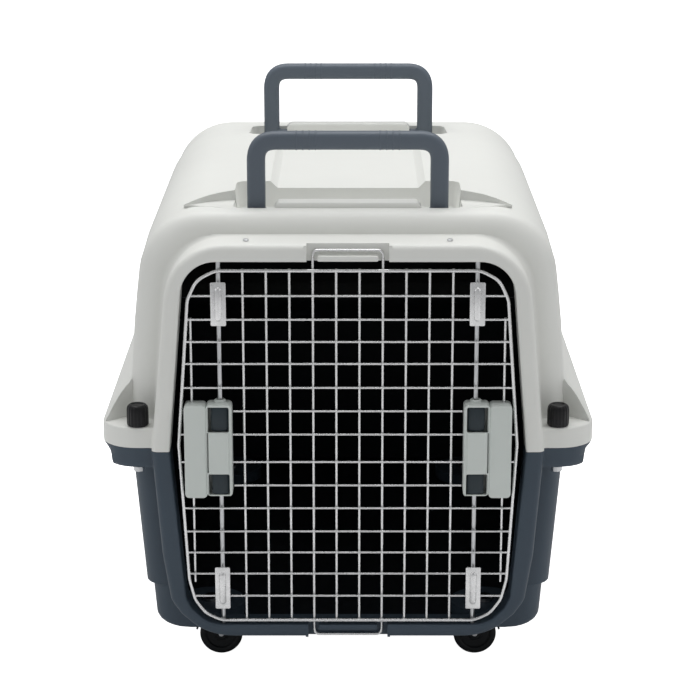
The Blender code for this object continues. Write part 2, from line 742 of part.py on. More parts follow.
def make_latch(side, sign):
    """One squeeze latch: front cover, back plate, two buttons, two rods, two springs and two rod guides."""
    low_z, high_z = LATCH_Z - LATCH_HALF_HEIGHT, LATCH_Z + LATCH_HALF_HEIGHT
    inner_x, split_x = LATCH_XS
    cover_points, cover_faces = box_points((inner_x, LATCH_FRONT_Y, low_z), (LATCH_PLATE_X, LATCH_BACK_Y, high_z))
    cover = make_object(f"latch_cover_{side}", mirrored(cover_points, sign), cover_faces, "latch_white")
    front, back = LATCH_FRONT_Y + 2, LATCH_BACK_Y + 3
    hollows = [box_points((inner_x + 2, front, low_z + 2), (split_x - 2, back, high_z - 2)),
               box_points((split_x + 2, front, low_z + 2), (LATCH_PLATE_X - 2, back, high_z - 2))]
    windows = []
    for s in (-1, 1):
        zs = sorted((LATCH_Z + s * 21.0, LATCH_Z + s * 49.0))
        windows.append(box_points((inner_x + 3.5, front - 5, zs[0]), (split_x - 4.5, front + 0.5, zs[1])))
    for label, shapes in (("hollows", hollows), ("windows", windows)):
        points, faces = merge_shapes(shapes)
        combine(cover, make_object(f"cut_{label}_{side}", mirrored(points, sign), faces), "DIFFERENCE")

    plate = box_points((inner_x, BACK_PLATE_YS[0], low_z), (LATCH_PLATE_X, BACK_PLATE_YS[1], high_z))
    rib = box_points((ROD_X - 6, ROD_Y - ROD_R, LATCH_Z - 2), (ROD_X + 6, BACK_PLATE_YS[0] + 1, LATCH_Z + 2))
    back = make_object(f"latch_back_{side}", mirrored(plate[0], sign), plate[1], "latch_white")
    combine(back, make_object(f"add_rib_{side}", mirrored(rib[0], sign), rib[1]), "UNION")

    for end, s in (("upper", 1), ("lower", -1)):
        make_bolt(f"{end}_{side}", sign, s)
        make_guide(f"{end}_{side}", sign, s)


def make_bolt(suffix, sign, s):
    """A sprung bolt: the finger button with its lug, the rod that it moves, and the spring behind it."""
    def heights(near, far):
        return sorted((LATCH_Z + s * near, LATCH_Z + s * far))

    x = sign * ROD_X
    slide_lo, slide_hi = heights(15.0, 52.5)
    plate = box_points((x - 9.5, LATCH_FRONT_Y + 2.3, slide_lo), (x + 9.5, LATCH_FRONT_Y + 4.6, slide_hi))
    lug_lo, lug_hi = heights(35.0, 52.0)
    lug = box_points((x - 4.0, LATCH_FRONT_Y + 4.0, lug_lo), (x + 4.0, ROD_Y + 3.0, lug_hi))
    button = make_object(f"latch_button_{suffix}", *plate, "handle_grey", origin=(x, ROD_Y, LATCH_Z))
    combine(button, make_object(f"add_lug_{suffix}", *lug), "UNION")

    rod_lo, rod_hi = heights(52.3, ROD_TIP)
    rod = prism_points(circle(ROD_R, 10, (x, ROD_Y)), "z", rod_lo, rod_hi)
    make_object(f"latch_rod_{suffix}", *rod, "steel", origin=(x, ROD_Y, LATCH_Z))

    spring_lo, spring_hi = heights(2.3, 34.7)
    turns, per_turn, wire, coil = 4.0, 6, 0.4, 1.9
    count = int(turns * per_turn) + 1
    path = []
    for i in range(count):
        turn = math.tau * i / per_turn
        z = spring_lo + wire + (spring_hi - spring_lo - 2 * wire) * i / (count - 1)
        path.append((x + coil * math.cos(turn), ROD_Y + coil * math.sin(turn), z))
    make_object(f"latch_spring_{suffix}", *coil_points(path, wire, 3), "steel")


def coil_points(path, radius, sides):
    """A round wire along a free path, for springs."""
    points, faces = [], []
    count = len(path)
    for i, here in enumerate(path):
        here = np.array(here)
        ahead = np.array(path[min(i + 1, count - 1)]) - np.array(path[max(i - 1, 0)])
        ahead /= np.linalg.norm(ahead)
        side = np.cross(ahead, (0.0, 0.0, 1.0))
        side /= np.linalg.norm(side)
        up = np.cross(side, ahead)
        for k in range(sides):
            turn = math.tau * k / sides
            points.append(tuple(here + radius * (math.cos(turn) * side + math.sin(turn) * up)))
    for i in range(count - 1):
        for k in range(sides):
            m = (k + 1) % sides
            faces.append((i * sides + k, i * sides + m, (i + 1) * sides + m, (i + 1) * sides + k))
    faces.append(tuple(range(sides)))
    faces.append(tuple(range(count * sides - 1, (count - 1) * sides - 1, -1)))
    return points, faces


def make_guide(suffix, sign, s):
    """A pressed plate on the cross wires, with an eye behind it that the rod slides in."""
    x = sign * ROD_X
    lo, hi = GUIDE_UPPER_ZS if s > 0 else GUIDE_LOWER_ZS
    eye_lo, eye_hi = EYE_UPPER_ZS if s > 0 else EYE_LOWER_ZS
    front, back = GUIDE_YS
    plate = box_points((x - GUIDE_HALF_WIDTH, front, lo), (x + GUIDE_HALF_WIDTH, back, hi))
    guide = make_object(f"rod_guide_{suffix}", *plate, "zinc_wire")
    eye = box_points((x - 5.0, back - 0.4, eye_lo), (x + 5.0, ROD_Y + ROD_R + 1.8, eye_hi))
    combine(guide, make_object(f"add_eye_{suffix}", *eye), "UNION")
    reach = ROD_R + CLEAR
    bore = box_points((x - reach, ROD_Y - reach, eye_lo - 5), (x + reach, ROD_Y + reach, eye_hi + 5))
    combine(guide, make_object(f"cut_eye_{suffix}", *bore), "DIFFERENCE")


# ---------------------------------------------------------------- handles, knobs, screws


def make_handle(name, y, finish="handle_grey"):
    """A U-shaped grip whose two pins turn in the roof block."""
    width, depth = HANDLE_BAR
    middle_z = HANDLE_TOP_Z - width / 2
    bend = 23.0
    path = [(HANDLE_HALF, y, PIVOT_Z - 7.5), (HANDLE_HALF, y, middle_z - bend)]
    for i in range(1, 4):
        turn = math.pi / 2 * i / 4
        path.append((HANDLE_HALF - bend + bend * math.cos(turn), y, middle_z - bend + bend * math.sin(turn)))
    path.append((HANDLE_HALF - bend, y, middle_z))
    path += [(-x, py, z) for x, py, z in reversed(path)]
    a, b, c = width / 2, depth / 2, 4.0
    section = [(-a, -b + c), (-a + c, -b), (a - c, -b), (a, -b + c), (a, b - c), (a - c, b), (-a + c, b), (-a, b - c)]
    handle = make_object(name, *sweep_points(path, section, (0, 1, 0)), finish, origin=(0, y, PIVOT_Z))
    pins = [prism_points(circle(PIVOT_R, 12, (y, PIVOT_Z)), "x", *sorted((s * 72.0, s * 92.0))) for s in (-1, 1)]
    combine(handle, make_object(f"add_pins_{name}", *merge_shapes(pins)), "UNION")
    return handle


def make_knob(suffix, x, y):
    """A fluted cap nut on the shelf, and the corner bolt that it turns on."""
    low = SHELF_Z + CLEAR
    top = low + KNOB_HEIGHT
    bore, bore_top = BOLT_R + CLEAR, top - 5.0
    profile = [(0.0, bore_top), (bore, bore_top), (bore, low), (KNOB_R - 1.0, low), (KNOB_R, low + 1.5),
               (KNOB_R, top - 2.5), (KNOB_R - 2.8, top), (0.0, top)]
    knob = lathe_points(profile, (x, y, 0.0), "z", 12, flute=1.2)
    make_object(f"corner_knob_{suffix}", *knob, "black", origin=(x, y, SHELF_Z))
    shank_top = bore_top - CLEAR
    head = [(0.0, 242.0), (6.0, 242.0), (6.0, 247.2), (BOLT_R, 247.2), (BOLT_R, shank_top), (0.0, shank_top)]
    make_object(f"corner_bolt_{suffix}", *lathe_points(head, (x, y, 0.0), "z", 8), "steel", origin=(x, y, JOINT_Z))


def make_lintel_screw(side, sign):
    profile = [(0.0, 504.4), (2.2, 504.4), (3.2, 503.4), (3.2, 502.3), (1.5, 502.3), (1.5, 496.0), (0.0, 496.0)]
    make_object(f"lintel_screw_{side}", *lathe_points(profile, (sign * 109.0, -312.5, 0.0), "z", 8), "steel")


# ---------------------------------------------------------------- casters


def fender_outline(wheel_x):
    """The arched cover over the wheels, seen along the axle."""
    inner, outer = FENDER_R
    steps = 8
    turns = [math.radians(15.0 + 150.0 * i / steps) for i in range(steps + 1)]
    arc = [(wheel_x + outer * math.cos(t), WHEEL_R + outer * math.sin(t)) for t in turns]
    return arc + [(wheel_x + inner * math.cos(t), WHEEL_R + inner * math.sin(t)) for t in reversed(turns)]


def make_caster(suffix, x, y, sx):
    """Twin wheels on an axle along Y, under an arched fork whose stem swivels in a socket."""
    wheel_x = x - sx * CASTER_TRAIL
    fender = prism_points(fender_outline(wheel_x), "y", y - 17.0, y + 17.0)
    fork = make_object(f"caster_fork_{suffix}", *fender, "black", origin=(x, y, WELL_TOP_Z))
    web = [(wheel_x - 9.0, WHEEL_R), (wheel_x - 6.4, WHEEL_R - 6.4), (wheel_x, WHEEL_R - 9.0),
           (wheel_x + 6.4, WHEEL_R - 6.4), (wheel_x + 9.0, WHEEL_R), (wheel_x + 9.0, 52.6), (wheel_x - 9.0, 52.6)]
    combine(fork, make_object(f"add_web_{suffix}", *prism_points(web, "y", y - 2.5, y + 2.5)), "UNION")
    stem = [(0.0, 50.5), (STEM_R, 50.5), (STEM_R, 64.6), (7.0, 64.6), (7.0, 67.0), (0.0, 67.0)]
    combine(fork, make_object(f"add_stem_{suffix}", *lathe_points(stem, (x, y, 0.0), "z", 12)), "UNION")
    bore = AXLE_R + CLEAR
    hole = prism_points(circle(bore, 10, (wheel_x, WHEEL_R)), "y", y - 6.0, y + 6.0)
    combine(fork, make_object(f"cut_bore_{suffix}", *hole), "DIFFERENCE")

    axle = prism_points(circle(AXLE_R, 10, (wheel_x, WHEEL_R)), "y", y - 16.6, y + 16.6)
    make_object(f"caster_axle_{suffix}", *axle, "steel", origin=(wheel_x, y, WHEEL_R))
    for label, s in (("a", -1), ("b", 1)):
        profile = [(bore, s * WHEEL_INNER), (WHEEL_R, s * WHEEL_INNER), (WHEEL_R, s * (WHEEL_OUTER - 2)),
                   (WHEEL_R - 2.0, s * WHEEL_OUTER), (bore, s * WHEEL_OUTER)]
        wheel = lathe_points(profile, (wheel_x, y, WHEEL_R), "y", 16)
        make_object(f"caster_wheel_{suffix}_{label}", *wheel, "black", origin=(wheel_x, y, WHEEL_R))

    bush, seat = STEM_R + CLEAR, WELL_TOP_Z - CLEAR
    socket = [(bush, 56.0), (13.0, 56.0), (13.0, seat), (9.0, seat), (9.0, 64.2), (bush, 64.2)]
    make_object(f"caster_socket_{suffix}", *lathe_points(socket, (x, y, 0.0), "z", 12), "steel")


def main():
    clear_scene()
    make_upper_shell()
    make_lower_shell()
    make_door()
    for side, sign in (("left", -1), ("right", 1)):
        make_latch(side, sign)
        make_lintel_screw(side, sign)
    make_handle("handle_front", HANDLE_Y)
    make_handle("handle_rear", MIRROR_SUM_Y - HANDLE_Y)
    for suffix, x, y in corner_bolts():
        make_knob(suffix, x, y)
    for suffix, x, y, sx in caster_spots():
        make_caster(suffix, x, y, sx)


main()
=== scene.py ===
"""Looks of the pet transport carrier: moulded shells, wire door, squeeze latches, handles, knobs and
casters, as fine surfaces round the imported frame. Metres, +Z up, door towards -Y."""

import math

import bmesh
import bpy
import numpy as np
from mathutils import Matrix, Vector

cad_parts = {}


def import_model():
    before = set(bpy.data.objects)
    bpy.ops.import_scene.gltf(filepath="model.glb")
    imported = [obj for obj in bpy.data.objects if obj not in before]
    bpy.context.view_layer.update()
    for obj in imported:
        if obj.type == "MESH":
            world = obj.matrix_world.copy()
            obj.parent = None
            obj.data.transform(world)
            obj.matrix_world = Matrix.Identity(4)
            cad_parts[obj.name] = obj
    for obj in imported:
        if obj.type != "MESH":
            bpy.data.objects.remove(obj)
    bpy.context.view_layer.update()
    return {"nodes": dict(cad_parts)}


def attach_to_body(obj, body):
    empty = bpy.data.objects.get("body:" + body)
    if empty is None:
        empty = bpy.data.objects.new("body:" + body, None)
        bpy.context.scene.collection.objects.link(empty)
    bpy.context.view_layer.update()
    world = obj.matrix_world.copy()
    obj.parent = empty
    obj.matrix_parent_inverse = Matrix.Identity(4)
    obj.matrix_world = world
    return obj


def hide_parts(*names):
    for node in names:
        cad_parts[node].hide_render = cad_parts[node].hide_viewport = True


MM = 0.001

# Layout, in millimetres, as in the CAD part.
JOINT_Z = 271.0
JOINT_GAP = 0.15
WALL = 1.5
FRONT_Y = -332.5
FACE_Y = -285.0
LIP_END_Y = -300.0
REAR_Y = 314.0
MIRROR_SUM_Y = 10.0
RIM_HALF_WIDTH = 271.0
RIM_FRONT_Y = -318.0
RIM_REAR_Y = 342.0
RIM_CORNER = 40.0
SHELF_Z = 294.0
ROLL_SIDE = 27.0
ROLL_TOP_Y = 18.0
ROOF_Z = 533.0
FLOOR_Z = 46.0

# Roll round the body's vertical corners, in degrees. The lower shell takes fewer steps. The shelf for the
# knobs lies between the two angles given for each end of the upper shell.
FRONT_ANGLES = (0.0, 10.0, 20.0, 30.0, 42.0, 54.0, 63.0, 66.5, 74.0, 82.0, 90.0)
REAR_ANGLES = (90.0, 84.0, 80.0, 76.0, 64.0, 52.0, 42.0, 31.0, 26.0, 16.0, 8.0, 0.0)
LOWER_ANGLES = (0.0, 22.0, 36.0, 50.0, 64.0, 78.0, 90.0)
FRONT_SHELF = (-1.0, 64.0)
REAR_SHELF = (30.0, 77.0)
LIP_RADIUS = 2.5
BAND_RADIUS = 7.0
BASE_RADIUS = 9.0

# Height of the roof along the body.
ROOF_HEIGHTS = ((-400.0, 525.0), (-252.0, 525.5), (-195.0, 533.0),
                (160.0, 533.0), (235.0, 524.0), (400.0, 523.0))

# Roof features.
RECESS_HALF = 126.0
RECESS_FLOOR_Z = 503.0
RECESS_YS = (-255.0, -145.0)
PANEL_FLOOR_Z = 525.0
BLOCK_HALF = 80.0
BLOCK_YS = (-255.0, -233.0)
SCOOP_Y = -195.0
SCOOP_TIP, SCOOP_FRONT_Y = (179.0, -243.0), -256.0
PANEL_FLOOR_HALF, PANEL_TOP_HALF = 80.0, 88.0
SKIN_CUT_GAP = 0.3

# Notches behind the pull loops.
NOTCH_HALF = 44.0
NOTCH_Y = -322.9
NOTCH_BLOCK_HALF = 32.5
NOTCH_BLOCK_Y = -331.0

# Door wires.
FRAME_Y, FRAME_R = -329.0, 1.9
CROSS_Y, CROSS_R = -329.0, 1.25
UPRIGHT_Y, UPRIGHT_R = -325.9, 1.5
FRAME_TOP_Z, FRAME_BOTTOM_Z = 473.1, 73.2
FRAME_POINTS = (
    (141.5, FRAME_TOP_Z), (161.5, 462.7), (171.5, 441.2), (184.0, 278.0),
    (175.5, 122.0), (169.5, 98.0), (158.0, 81.5), (140.0, FRAME_BOTTOM_Z),
)
UPRIGHT_XS = (12.5, 62.5, 87.5, 112.5)
LOOP_X, LOOP_TOP_Z, LOOP_BOTTOM_Z = 37.5, 495.0, 55.5
CROSS_ZS = (445.5, 419.3, 394.6, 370.0, 343.1, 290.2, 258.7, 205.3, 178.3, 153.6, 128.6, 102.3)
SHORT_CROSS_ZS = (316.7, 231.8)
SHORT_CROSS_HALF = 124.0
STUB_X, STUB_ZS = 169.0, (118.0, 421.0)

# Latches.
ROD_X, ROD_Y = 138.5, -323.9
LATCH_Z = 277.0
GUIDE_ZS = {"upper": (413.0, 461.0), "lower": (88.0, 137.0)}

# Handles, knobs and casters.
HANDLE_Y = -243.0
PIVOT_Z = 517.0
HANDLE_HALF = 100.0
HANDLE_TOP_Z = 608.0
KNOB_FRONT, KNOB_REAR = (230.0, -307.5), (252.5, 313.0)
KNOB_HEIGHT = 24.0
CASTER_X, CASTER_Y, CASTER_TRAIL = 158.0, 238.0, 12.0
WHEEL_R = 24.5
WELL_R, WELL_TOP_Z = 38.0, 59.0

# Ventilation slots.
VENT_PITCH, VENT_WIDTH = 40.0, 14.0
SIDE_VENT_ZS, REAR_VENT_ZS = (345.0, 425.0), (360.0, 440.0)


# --- shapes


def sin_cos(degrees):
    return math.sin(math.radians(degrees)), math.cos(math.radians(degrees))


def rounded_rect(a0, a1, b0, b1, radius, steps=5):
    radius = min(radius, (a1 - a0) / 2 - 0.01, (b1 - b0) / 2 - 0.01)
    outline = []
    for cx, cy, start in ((a1 - radius, b1 - radius, 0), (a0 + radius, b1 - radius, 90),
                          (a0 + radius, b0 + radius, 180), (a1 - radius, b0 + radius, 270)):
        for i in range(steps + 1):
            turn = math.radians(start + 90 * i / steps)
            outline.append((cx + radius * math.cos(turn), cy + radius * math.sin(turn)))
    return outline


def circle(radius, count, centre=(0.0, 0.0)):
    turns = [math.tau * i / count for i in range(count)]
    return [(centre[0] + radius * math.cos(t), centre[1] + radius * math.sin(t)) for t in turns]


def place(a, b, c, axis):
    return {"x": (c, a, b), "y": (a, c, b), "z": (a, b, c)}[axis]


def loft(sections, axis):
    """Closed solid through outlines of equal length; each section is (distance along the axis, outline)."""
    count = len(sections[0][1])
    points = [place(a, b, c, axis) for c, outline in sections for a, b in outline]
    faces = [tuple(range(count))]
    for s in range(len(sections) - 1):
        for i in range(count):
            j = (i + 1) % count
            faces.append((s * count + i, s * count + j, (s + 1) * count + j, (s + 1) * count + i))
    last = (len(sections) - 1) * count
    faces.append(tuple(range(last + count - 1, last - 1, -1)))
    return points, faces


def slab(ranges, corner, start, end, edge, axis, edge_back=0.0):
    """A block with rounded corners seen along the axis, and rounded edges at its start and its end."""
    def outline(inset):
        a0, a1, b0, b1 = ranges
        return rounded_rect(a0 + inset, a1 - inset, b0 + inset, b1 - inset, max(corner - inset, 0.3))

    way = 1.0 if end > start else -1.0
    sections = []
    for i in range(4 if edge else 1):
        turn = math.pi / 2 * i / 3
        sections.append((start + way * edge * (1 - math.sin(turn)), outline(edge * (1 - math.cos(turn)))))
    sections.reverse()
    tail = []
    for i in range(4 if edge_back else 1):
        turn = math.pi / 2 * i / 3
        tail.append((end - way * edge_back * (1 - math.sin(turn)), outline(edge_back * (1 - math.cos(turn)))))
    return loft(sections + tail, axis)


def box(low, high):
    return loft([(z, [(low[0], low[1]), (high[0], low[1]), (high[0], high[1]), (low[0], high[1])])
                 for z in (low[2], high[2])], "z")


def cylinder(radius, centre, start, end, axis, count=24):
    outline = circle(radius, count, centre)
    return loft([(start, outline), (end, outline)], axis)


def lathe(profile, base, axis, count, wave=None):
    """A (radius, distance) profile turned about an axis; closed profiles make rings."""
    points, faces, rings = [], [], []
    for radius, along in profile:
        ring = []
        for i in range(count if radius > 0 else 1):
            turn = math.tau * i / count
            r = wave(radius, turn) if wave else radius
            offset = place(r * math.cos(turn), r * math.sin(turn), along, axis)
            ring.append(len(points))
            points.append(tuple(b + o for b, o in zip(base, offset)))
        rings.append(ring)
    pairs = list(zip(rings, rings[1:]))
    if profile[0][0] > 0 and profile[-1][0] > 0:
        pairs.append((rings[-1], rings[0]))
    for one, two in pairs:
        for i in range(count):
            j = (i + 1) % count
            face = (one[i % len(one)], one[j % len(one)], two[j % len(two)], two[i % len(two)])
            face = tuple(dict.fromkeys(face))
            if len(face) > 2:
                faces.append(face)
    return points, faces


def sweep(path, section, up, closed=False, scales=None):
    """A flat section of (side, up) pairs carried along a path, with mitred corners."""
    path = [np.array(p, float) for p in path]
    up = np.array(up, float)
    count, sides = len(path), len(section)
    points, faces = [], []
    for i, here in enumerate(path):
        before = path[i - 1] if closed or i else None
        after = path[(i + 1) % count] if closed or i < count - 1 else None
        incoming = here - before if before is not None else after - here
        outgoing = after - here if after is not None else here - before
        incoming = incoming / np.linalg.norm(incoming)
        outgoing = outgoing / np.linalg.norm(outgoing)
        tangent = (incoming + outgoing) / np.linalg.norm(incoming + outgoing)
        side = np.cross(tangent, up)
        stretch = 1.0 / max(float(tangent @ outgoing), 0.5)
        scale = scales[i] if scales else 1.0
        points.extend(tuple(here + side * a * stretch * scale + up * b * scale) for a, b in section)
    for i in range(count if closed else count - 1):
        j = (i + 1) % count
        for k in range(sides):
            m = (k + 1) % sides
            faces.append((i * sides + k, i * sides + m, j * sides + m, j * sides + k))
    if not closed:
        faces.append(tuple(range(sides)))
        faces.append(tuple(range(count * sides - 1, (count - 1) * sides - 1, -1)))
    return points, faces


def round_corners(path, radius, steps=5, closed=False):
    """Replaces a polyline's corners by arcs."""
    path = [np.array(p, float) for p in path]
    made = []
    for i, here in enumerate(path):
        if not closed and i in (0, len(path) - 1):
            made.append(here)
            continue
        before, after = path[i - 1], path[(i + 1) % len(path)]
        u = (before - here) / np.linalg.norm(before - here)
        v = (after - here) / np.linalg.norm(after - here)
        bend = math.acos(max(-1.0, min(1.0, float(u @ v))))
        reach = radius / math.tan(bend / 2)
        reach = min(reach, 0.45 * np.linalg.norm(before - here), 0.45 * np.linalg.norm(after - here))
        start, end = here + u * reach, here + v * reach
        for s in range(steps + 1):
            t = s / steps
            made.append((1 - t) ** 2 * start + 2 * t * (1 - t) * here + t * t * end)
    return made


def merge(shapes):
    points, faces = [], []
    for more_points, more_faces in shapes:
        start = len(points)
        points.extend(more_points)
        faces.extend(tuple(start + i for i in face) for face in more_faces)
    return points, faces


def mirror(shape, sign):
    points, faces = shape
    if sign > 0:
        return shape
    return [(-x, y, z) for x, y, z in points], [tuple(reversed(f)) for f in faces]


# --- objects


def attach(obj, body, replaces=(), sharp=35.0):
    """Shades a piece, puts it on its body and hides the CAD nodes that it stands for."""
    obj.data.shade_smooth()
    obj.data.set_sharp_from_angle(angle=math.radians(sharp))
    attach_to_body(obj, body)
    if replaces:
        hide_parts(*replaces)


def make(name, shape, finish, body, replaces=(), sharp=35.0):
    """A visible piece from points in millimetres."""
    attach(mesh_object(name, shape, [finish]), body, replaces, sharp)


def mesh_object(name, shape, finishes=(), inner_from=None):
    points, faces = shape
    mesh = bpy.data.meshes.new(name)
    mesh.from_pydata([(x * MM, y * MM, z * MM) for x, y, z in points], [], [tuple(f) for f in faces])
    for finish in finishes:
        mesh.materials.append(finish)
    if inner_from is not None:
        # Faces from inner_from on take the second finish; on the shells that is painted shade on the inside.
        for polygon in mesh.polygons:
            polygon.material_index = 1 if polygon.index >= inner_from else 0
    work = bmesh.new()
    work.from_mesh(mesh)
    bmesh.ops.recalc_face_normals(work, faces=work.faces)
    work.to_mesh(mesh)
    work.free()
    obj = bpy.data.objects.new(name, mesh)
    bpy.context.scene.collection.objects.link(obj)
    return obj


def carve(target, steps):
    """Applies Boolean steps of (operation, shape) to a piece and removes the helpers."""
    for i, (operation, shape) in enumerate(steps):
        helper = mesh_object(f"helper_{i}", shape, list(target.data.materials)[:1])
        modifier = target.modifiers.new("carve", "BOOLEAN")
        modifier.operation = operation
        modifier.solver = "EXACT"
        modifier.object = helper
        graph = bpy.context.evaluated_depsgraph_get()
        mesh = bpy.data.meshes.new_from_object(target.evaluated_get(graph))
        target.modifiers.clear()
        target.data = mesh
        bpy.data.objects.remove(helper, do_unlink=True)


def soften(target, width):
    """Rounds the edges that the carving left sharp."""
    modifier = target.modifiers.new("soften", "BEVEL")
    modifier.width = width * MM
    modifier.segments = 2
    modifier.limit_method = "ANGLE"
    modifier.angle_limit = math.radians(50.0)
    modifier.harden_normals = False


# --- finishes


def new_material(name):
    made = bpy.data.materials.new(name)
    made.use_nodes = True
    nodes = made.node_tree.nodes
    return made, nodes, made.node_tree.links, nodes["Principled BSDF"]


def object_noise(nodes, links, scale, detail=4.0):
    coords = nodes.new("ShaderNodeTexCoord")
    noise = nodes.new("ShaderNodeTexNoise")
    noise.inputs["Scale"].default_value = scale
    noise.inputs["Detail"].default_value = detail
    links.new(coords.outputs["Object"], noise.inputs["Vector"])
    return noise


def colour_range(nodes, links, source, low, high):
    ramp = nodes.new("ShaderNodeValToRGB")
    ramp.color_ramp.elements[0].position = 0.3
    ramp.color_ramp.elements[0].color = (*low, 1.0)
    ramp.color_ramp.elements[1].position = 0.7
    ramp.color_ramp.elements[1].color = (*high, 1.0)
    links.new(source, ramp.inputs["Fac"])
    return ramp


def add_bump(nodes, links, shader, source, strength, distance):
    bump = nodes.new("ShaderNodeBump")
    bump.inputs["Strength"].default_value = strength
    bump.inputs["Distance"].default_value = distance
    links.new(source, bump.inputs["Height"])
    links.new(bump.outputs["Normal"], shader.inputs["Normal"])


def vary_roughness(nodes, links, shader, noise, low, high):
    span = nodes.new("ShaderNodeMapRange")
    span.inputs["To Min"].default_value = low
    span.inputs["To Max"].default_value = high
    links.new(noise.outputs["Fac"], span.inputs["Value"])
    links.new(span.outputs["Result"], shader.inputs["Roughness"])


def moulded_plastic(name, colour, roughness, grain=1400.0, bump=0.12, spread=0.02, gloss=0.5):
    """Injection-moulded plastic: spark-eroded grain, slight tone drift and patches of a shinier skin."""
    made, nodes, links, shader = new_material(name)
    shader.inputs["Specular IOR Level"].default_value = gloss
    drift = object_noise(nodes, links, 5.0)
    low = tuple(max(c * (1 - spread), 0.0) for c in colour)
    high = tuple(c * (1 + spread) for c in colour)
    ramp = colour_range(nodes, links, drift.outputs["Fac"], low, high)
    links.new(ramp.outputs["Color"], shader.inputs["Base Color"])
    patches = object_noise(nodes, links, 22.0, 6.0)
    vary_roughness(nodes, links, shader, patches, roughness - 0.05, roughness + 0.07)
    fine = object_noise(nodes, links, grain, 3.0)
    add_bump(nodes, links, shader, fine.outputs["Fac"], bump, 0.0004)
    return made


def plated_metal(name, colour, roughness, streak=260.0, bump=0.06):
    """Bright plating with fine drawing marks and a few duller spots."""
    made, nodes, links, shader = new_material(name)
    shader.inputs["Metallic"].default_value = 1.0
    spots = object_noise(nodes, links, 90.0, 5.0)
    ramp = colour_range(nodes, links, spots.outputs["Fac"], tuple(c * 0.9 for c in colour), colour)
    links.new(ramp.outputs["Color"], shader.inputs["Base Color"])
    marks = object_noise(nodes, links, streak, 6.0)
    vary_roughness(nodes, links, shader, marks, roughness - 0.08, roughness + 0.12)
    add_bump(nodes, links, shader, marks.outputs["Fac"], bump, 0.0003)
    return made


def make_finishes():
    return {
        "off_white": moulded_plastic("off_white_shell", (0.74, 0.745, 0.71), 0.46, gloss=0.4),
        # The inner finish is painted shade: near-black on the inside of the off-white upper shell, standing in
        # for the shadow inside the carrier, where the plastic is the same off-white.
        "inner": moulded_plastic("painted_shade_inner_wall", (0.02, 0.021, 0.022), 0.6, gloss=0.2),
        "slate": moulded_plastic("slate_shell", (0.047, 0.066, 0.088), 0.47, spread=0.05, gloss=0.3),
        # The slate inner finish is painted shade as well: darker than the slate, standing in for the shadow
        # inside the lower shell.
        "slate_painted_shade_inner": moulded_plastic("slate_painted_shade_inner_wall", (0.008, 0.01, 0.013), 0.6, gloss=0.15),
        "handle_grey": moulded_plastic("grey_grip", (0.105, 0.127, 0.155), 0.4, spread=0.04, gloss=0.35),
        "button": moulded_plastic("button_slate", (0.022, 0.033, 0.040), 0.3, spread=0.04, gloss=0.3),
        "black": moulded_plastic("black_plastic", (0.006, 0.006, 0.007), 0.36, spread=0.05, gloss=0.25),
        "wheel_black": moulded_plastic("wheel_plastic", (0.007, 0.008, 0.009), 0.44, spread=0.08, gloss=0.22),
        "latch_white": moulded_plastic("latch_plastic", (0.60, 0.64, 0.61), 0.36, bump=0.06, gloss=0.4),
        "zinc_wire": plated_metal("plated_wire", (0.80, 0.80, 0.80), 0.26),
        "steel": plated_metal("plated_steel", (0.62, 0.63, 0.64), 0.30),
    }


# --- shell surface


class Outline:
    """Half of an arch seen from the front: a drafted side, a corner arc and a level end."""

    def __init__(self, direction, half_width, slope, curve, end_z, corner, step=0.0, step_z=0.0,
                 inset=(0.0, 0.0)):
        self.direction = direction
        self.half_width, self.slope, self.curve = half_width, slope, curve
        self.step, self.step_z = step, step_z
        self.side_inset, end_inset = inset
        self.end_z = end_z - direction * end_inset
        self.corner = max(corner - 0.5 * self.side_inset, 8.0) if direction > 0 else corner
        tilt = 0.0
        for _ in range(8):
            self.tangent_z = self.end_z - direction * self.corner * (1.0 - math.sin(tilt))
            tilt = math.atan(slope + 2.0 * curve * abs(self.tangent_z - JOINT_Z))
        self.tilt = tilt
        self.corner_x = self.side(self.tangent_z) - self.corner * math.cos(tilt)

    def side(self, z):
        rise = abs(z - JOINT_Z)
        stepped = self.step if self.direction * (z - self.step_z) > 0 else 0.0
        return self.half_width - self.side_inset - self.slope * rise - self.curve * rise * rise - stepped

    def at_z(self, z):
        if self.direction * (self.tangent_z - z) >= 0:
            return self.side(z)
        up = min(abs(z - (self.end_z - self.direction * self.corner)) / self.corner, 1.0)
        return self.corner_x + self.corner * math.sqrt(1.0 - up * up)

    def on_arc(self, angle):
        centre_z = self.end_z - self.direction * self.corner
        return (self.corner_x + self.corner * math.cos(angle),
                centre_z + self.direction * self.corner * math.sin(angle))

    def angle_at(self, z):
        up = abs(z - (self.end_z - self.direction * self.corner)) / self.corner
        return math.asin(min(up, 1.0)) if self.direction * (z - self.tangent_z) > 0 else self.tilt


def half_outline(outline, levels, arc_steps, end_xs):
    points = [(outline.at_z(z), z) for z in levels]
    start = max(outline.angle_at(levels[-1]), outline.tilt)
    first = 0 if outline.direction * (outline.tangent_z - levels[-1]) > 1.0 else 1
    points += [outline.on_arc(start + (math.pi / 2 - start) * i / arc_steps)
               for i in range(first, arc_steps + 1)]
    if first:
        points.insert(len(levels), outline.on_arc(start + (math.pi / 2 - start) * 0.5 / arc_steps))
    points.extend((x, outline.end_z) for x in end_xs)
    return points


def nearest_on(path, point):
    best, best_distance = None, float("inf")
    for (ax, az), (bx, bz) in zip(path, path[1:]):
        dx, dz = bx - ax, bz - az
        length = dx * dx + dz * dz
        if length == 0.0:
            continue
        t = min(max(((point[0] - ax) * dx + (point[1] - az) * dz) / length, 0.0), 1.0)
        x, z = ax + t * dx, az + t * dz
        distance = (x - point[0]) ** 2 + (z - point[1]) ** 2
        if distance < best_distance:
            best, best_distance = (x, z), distance
    return best


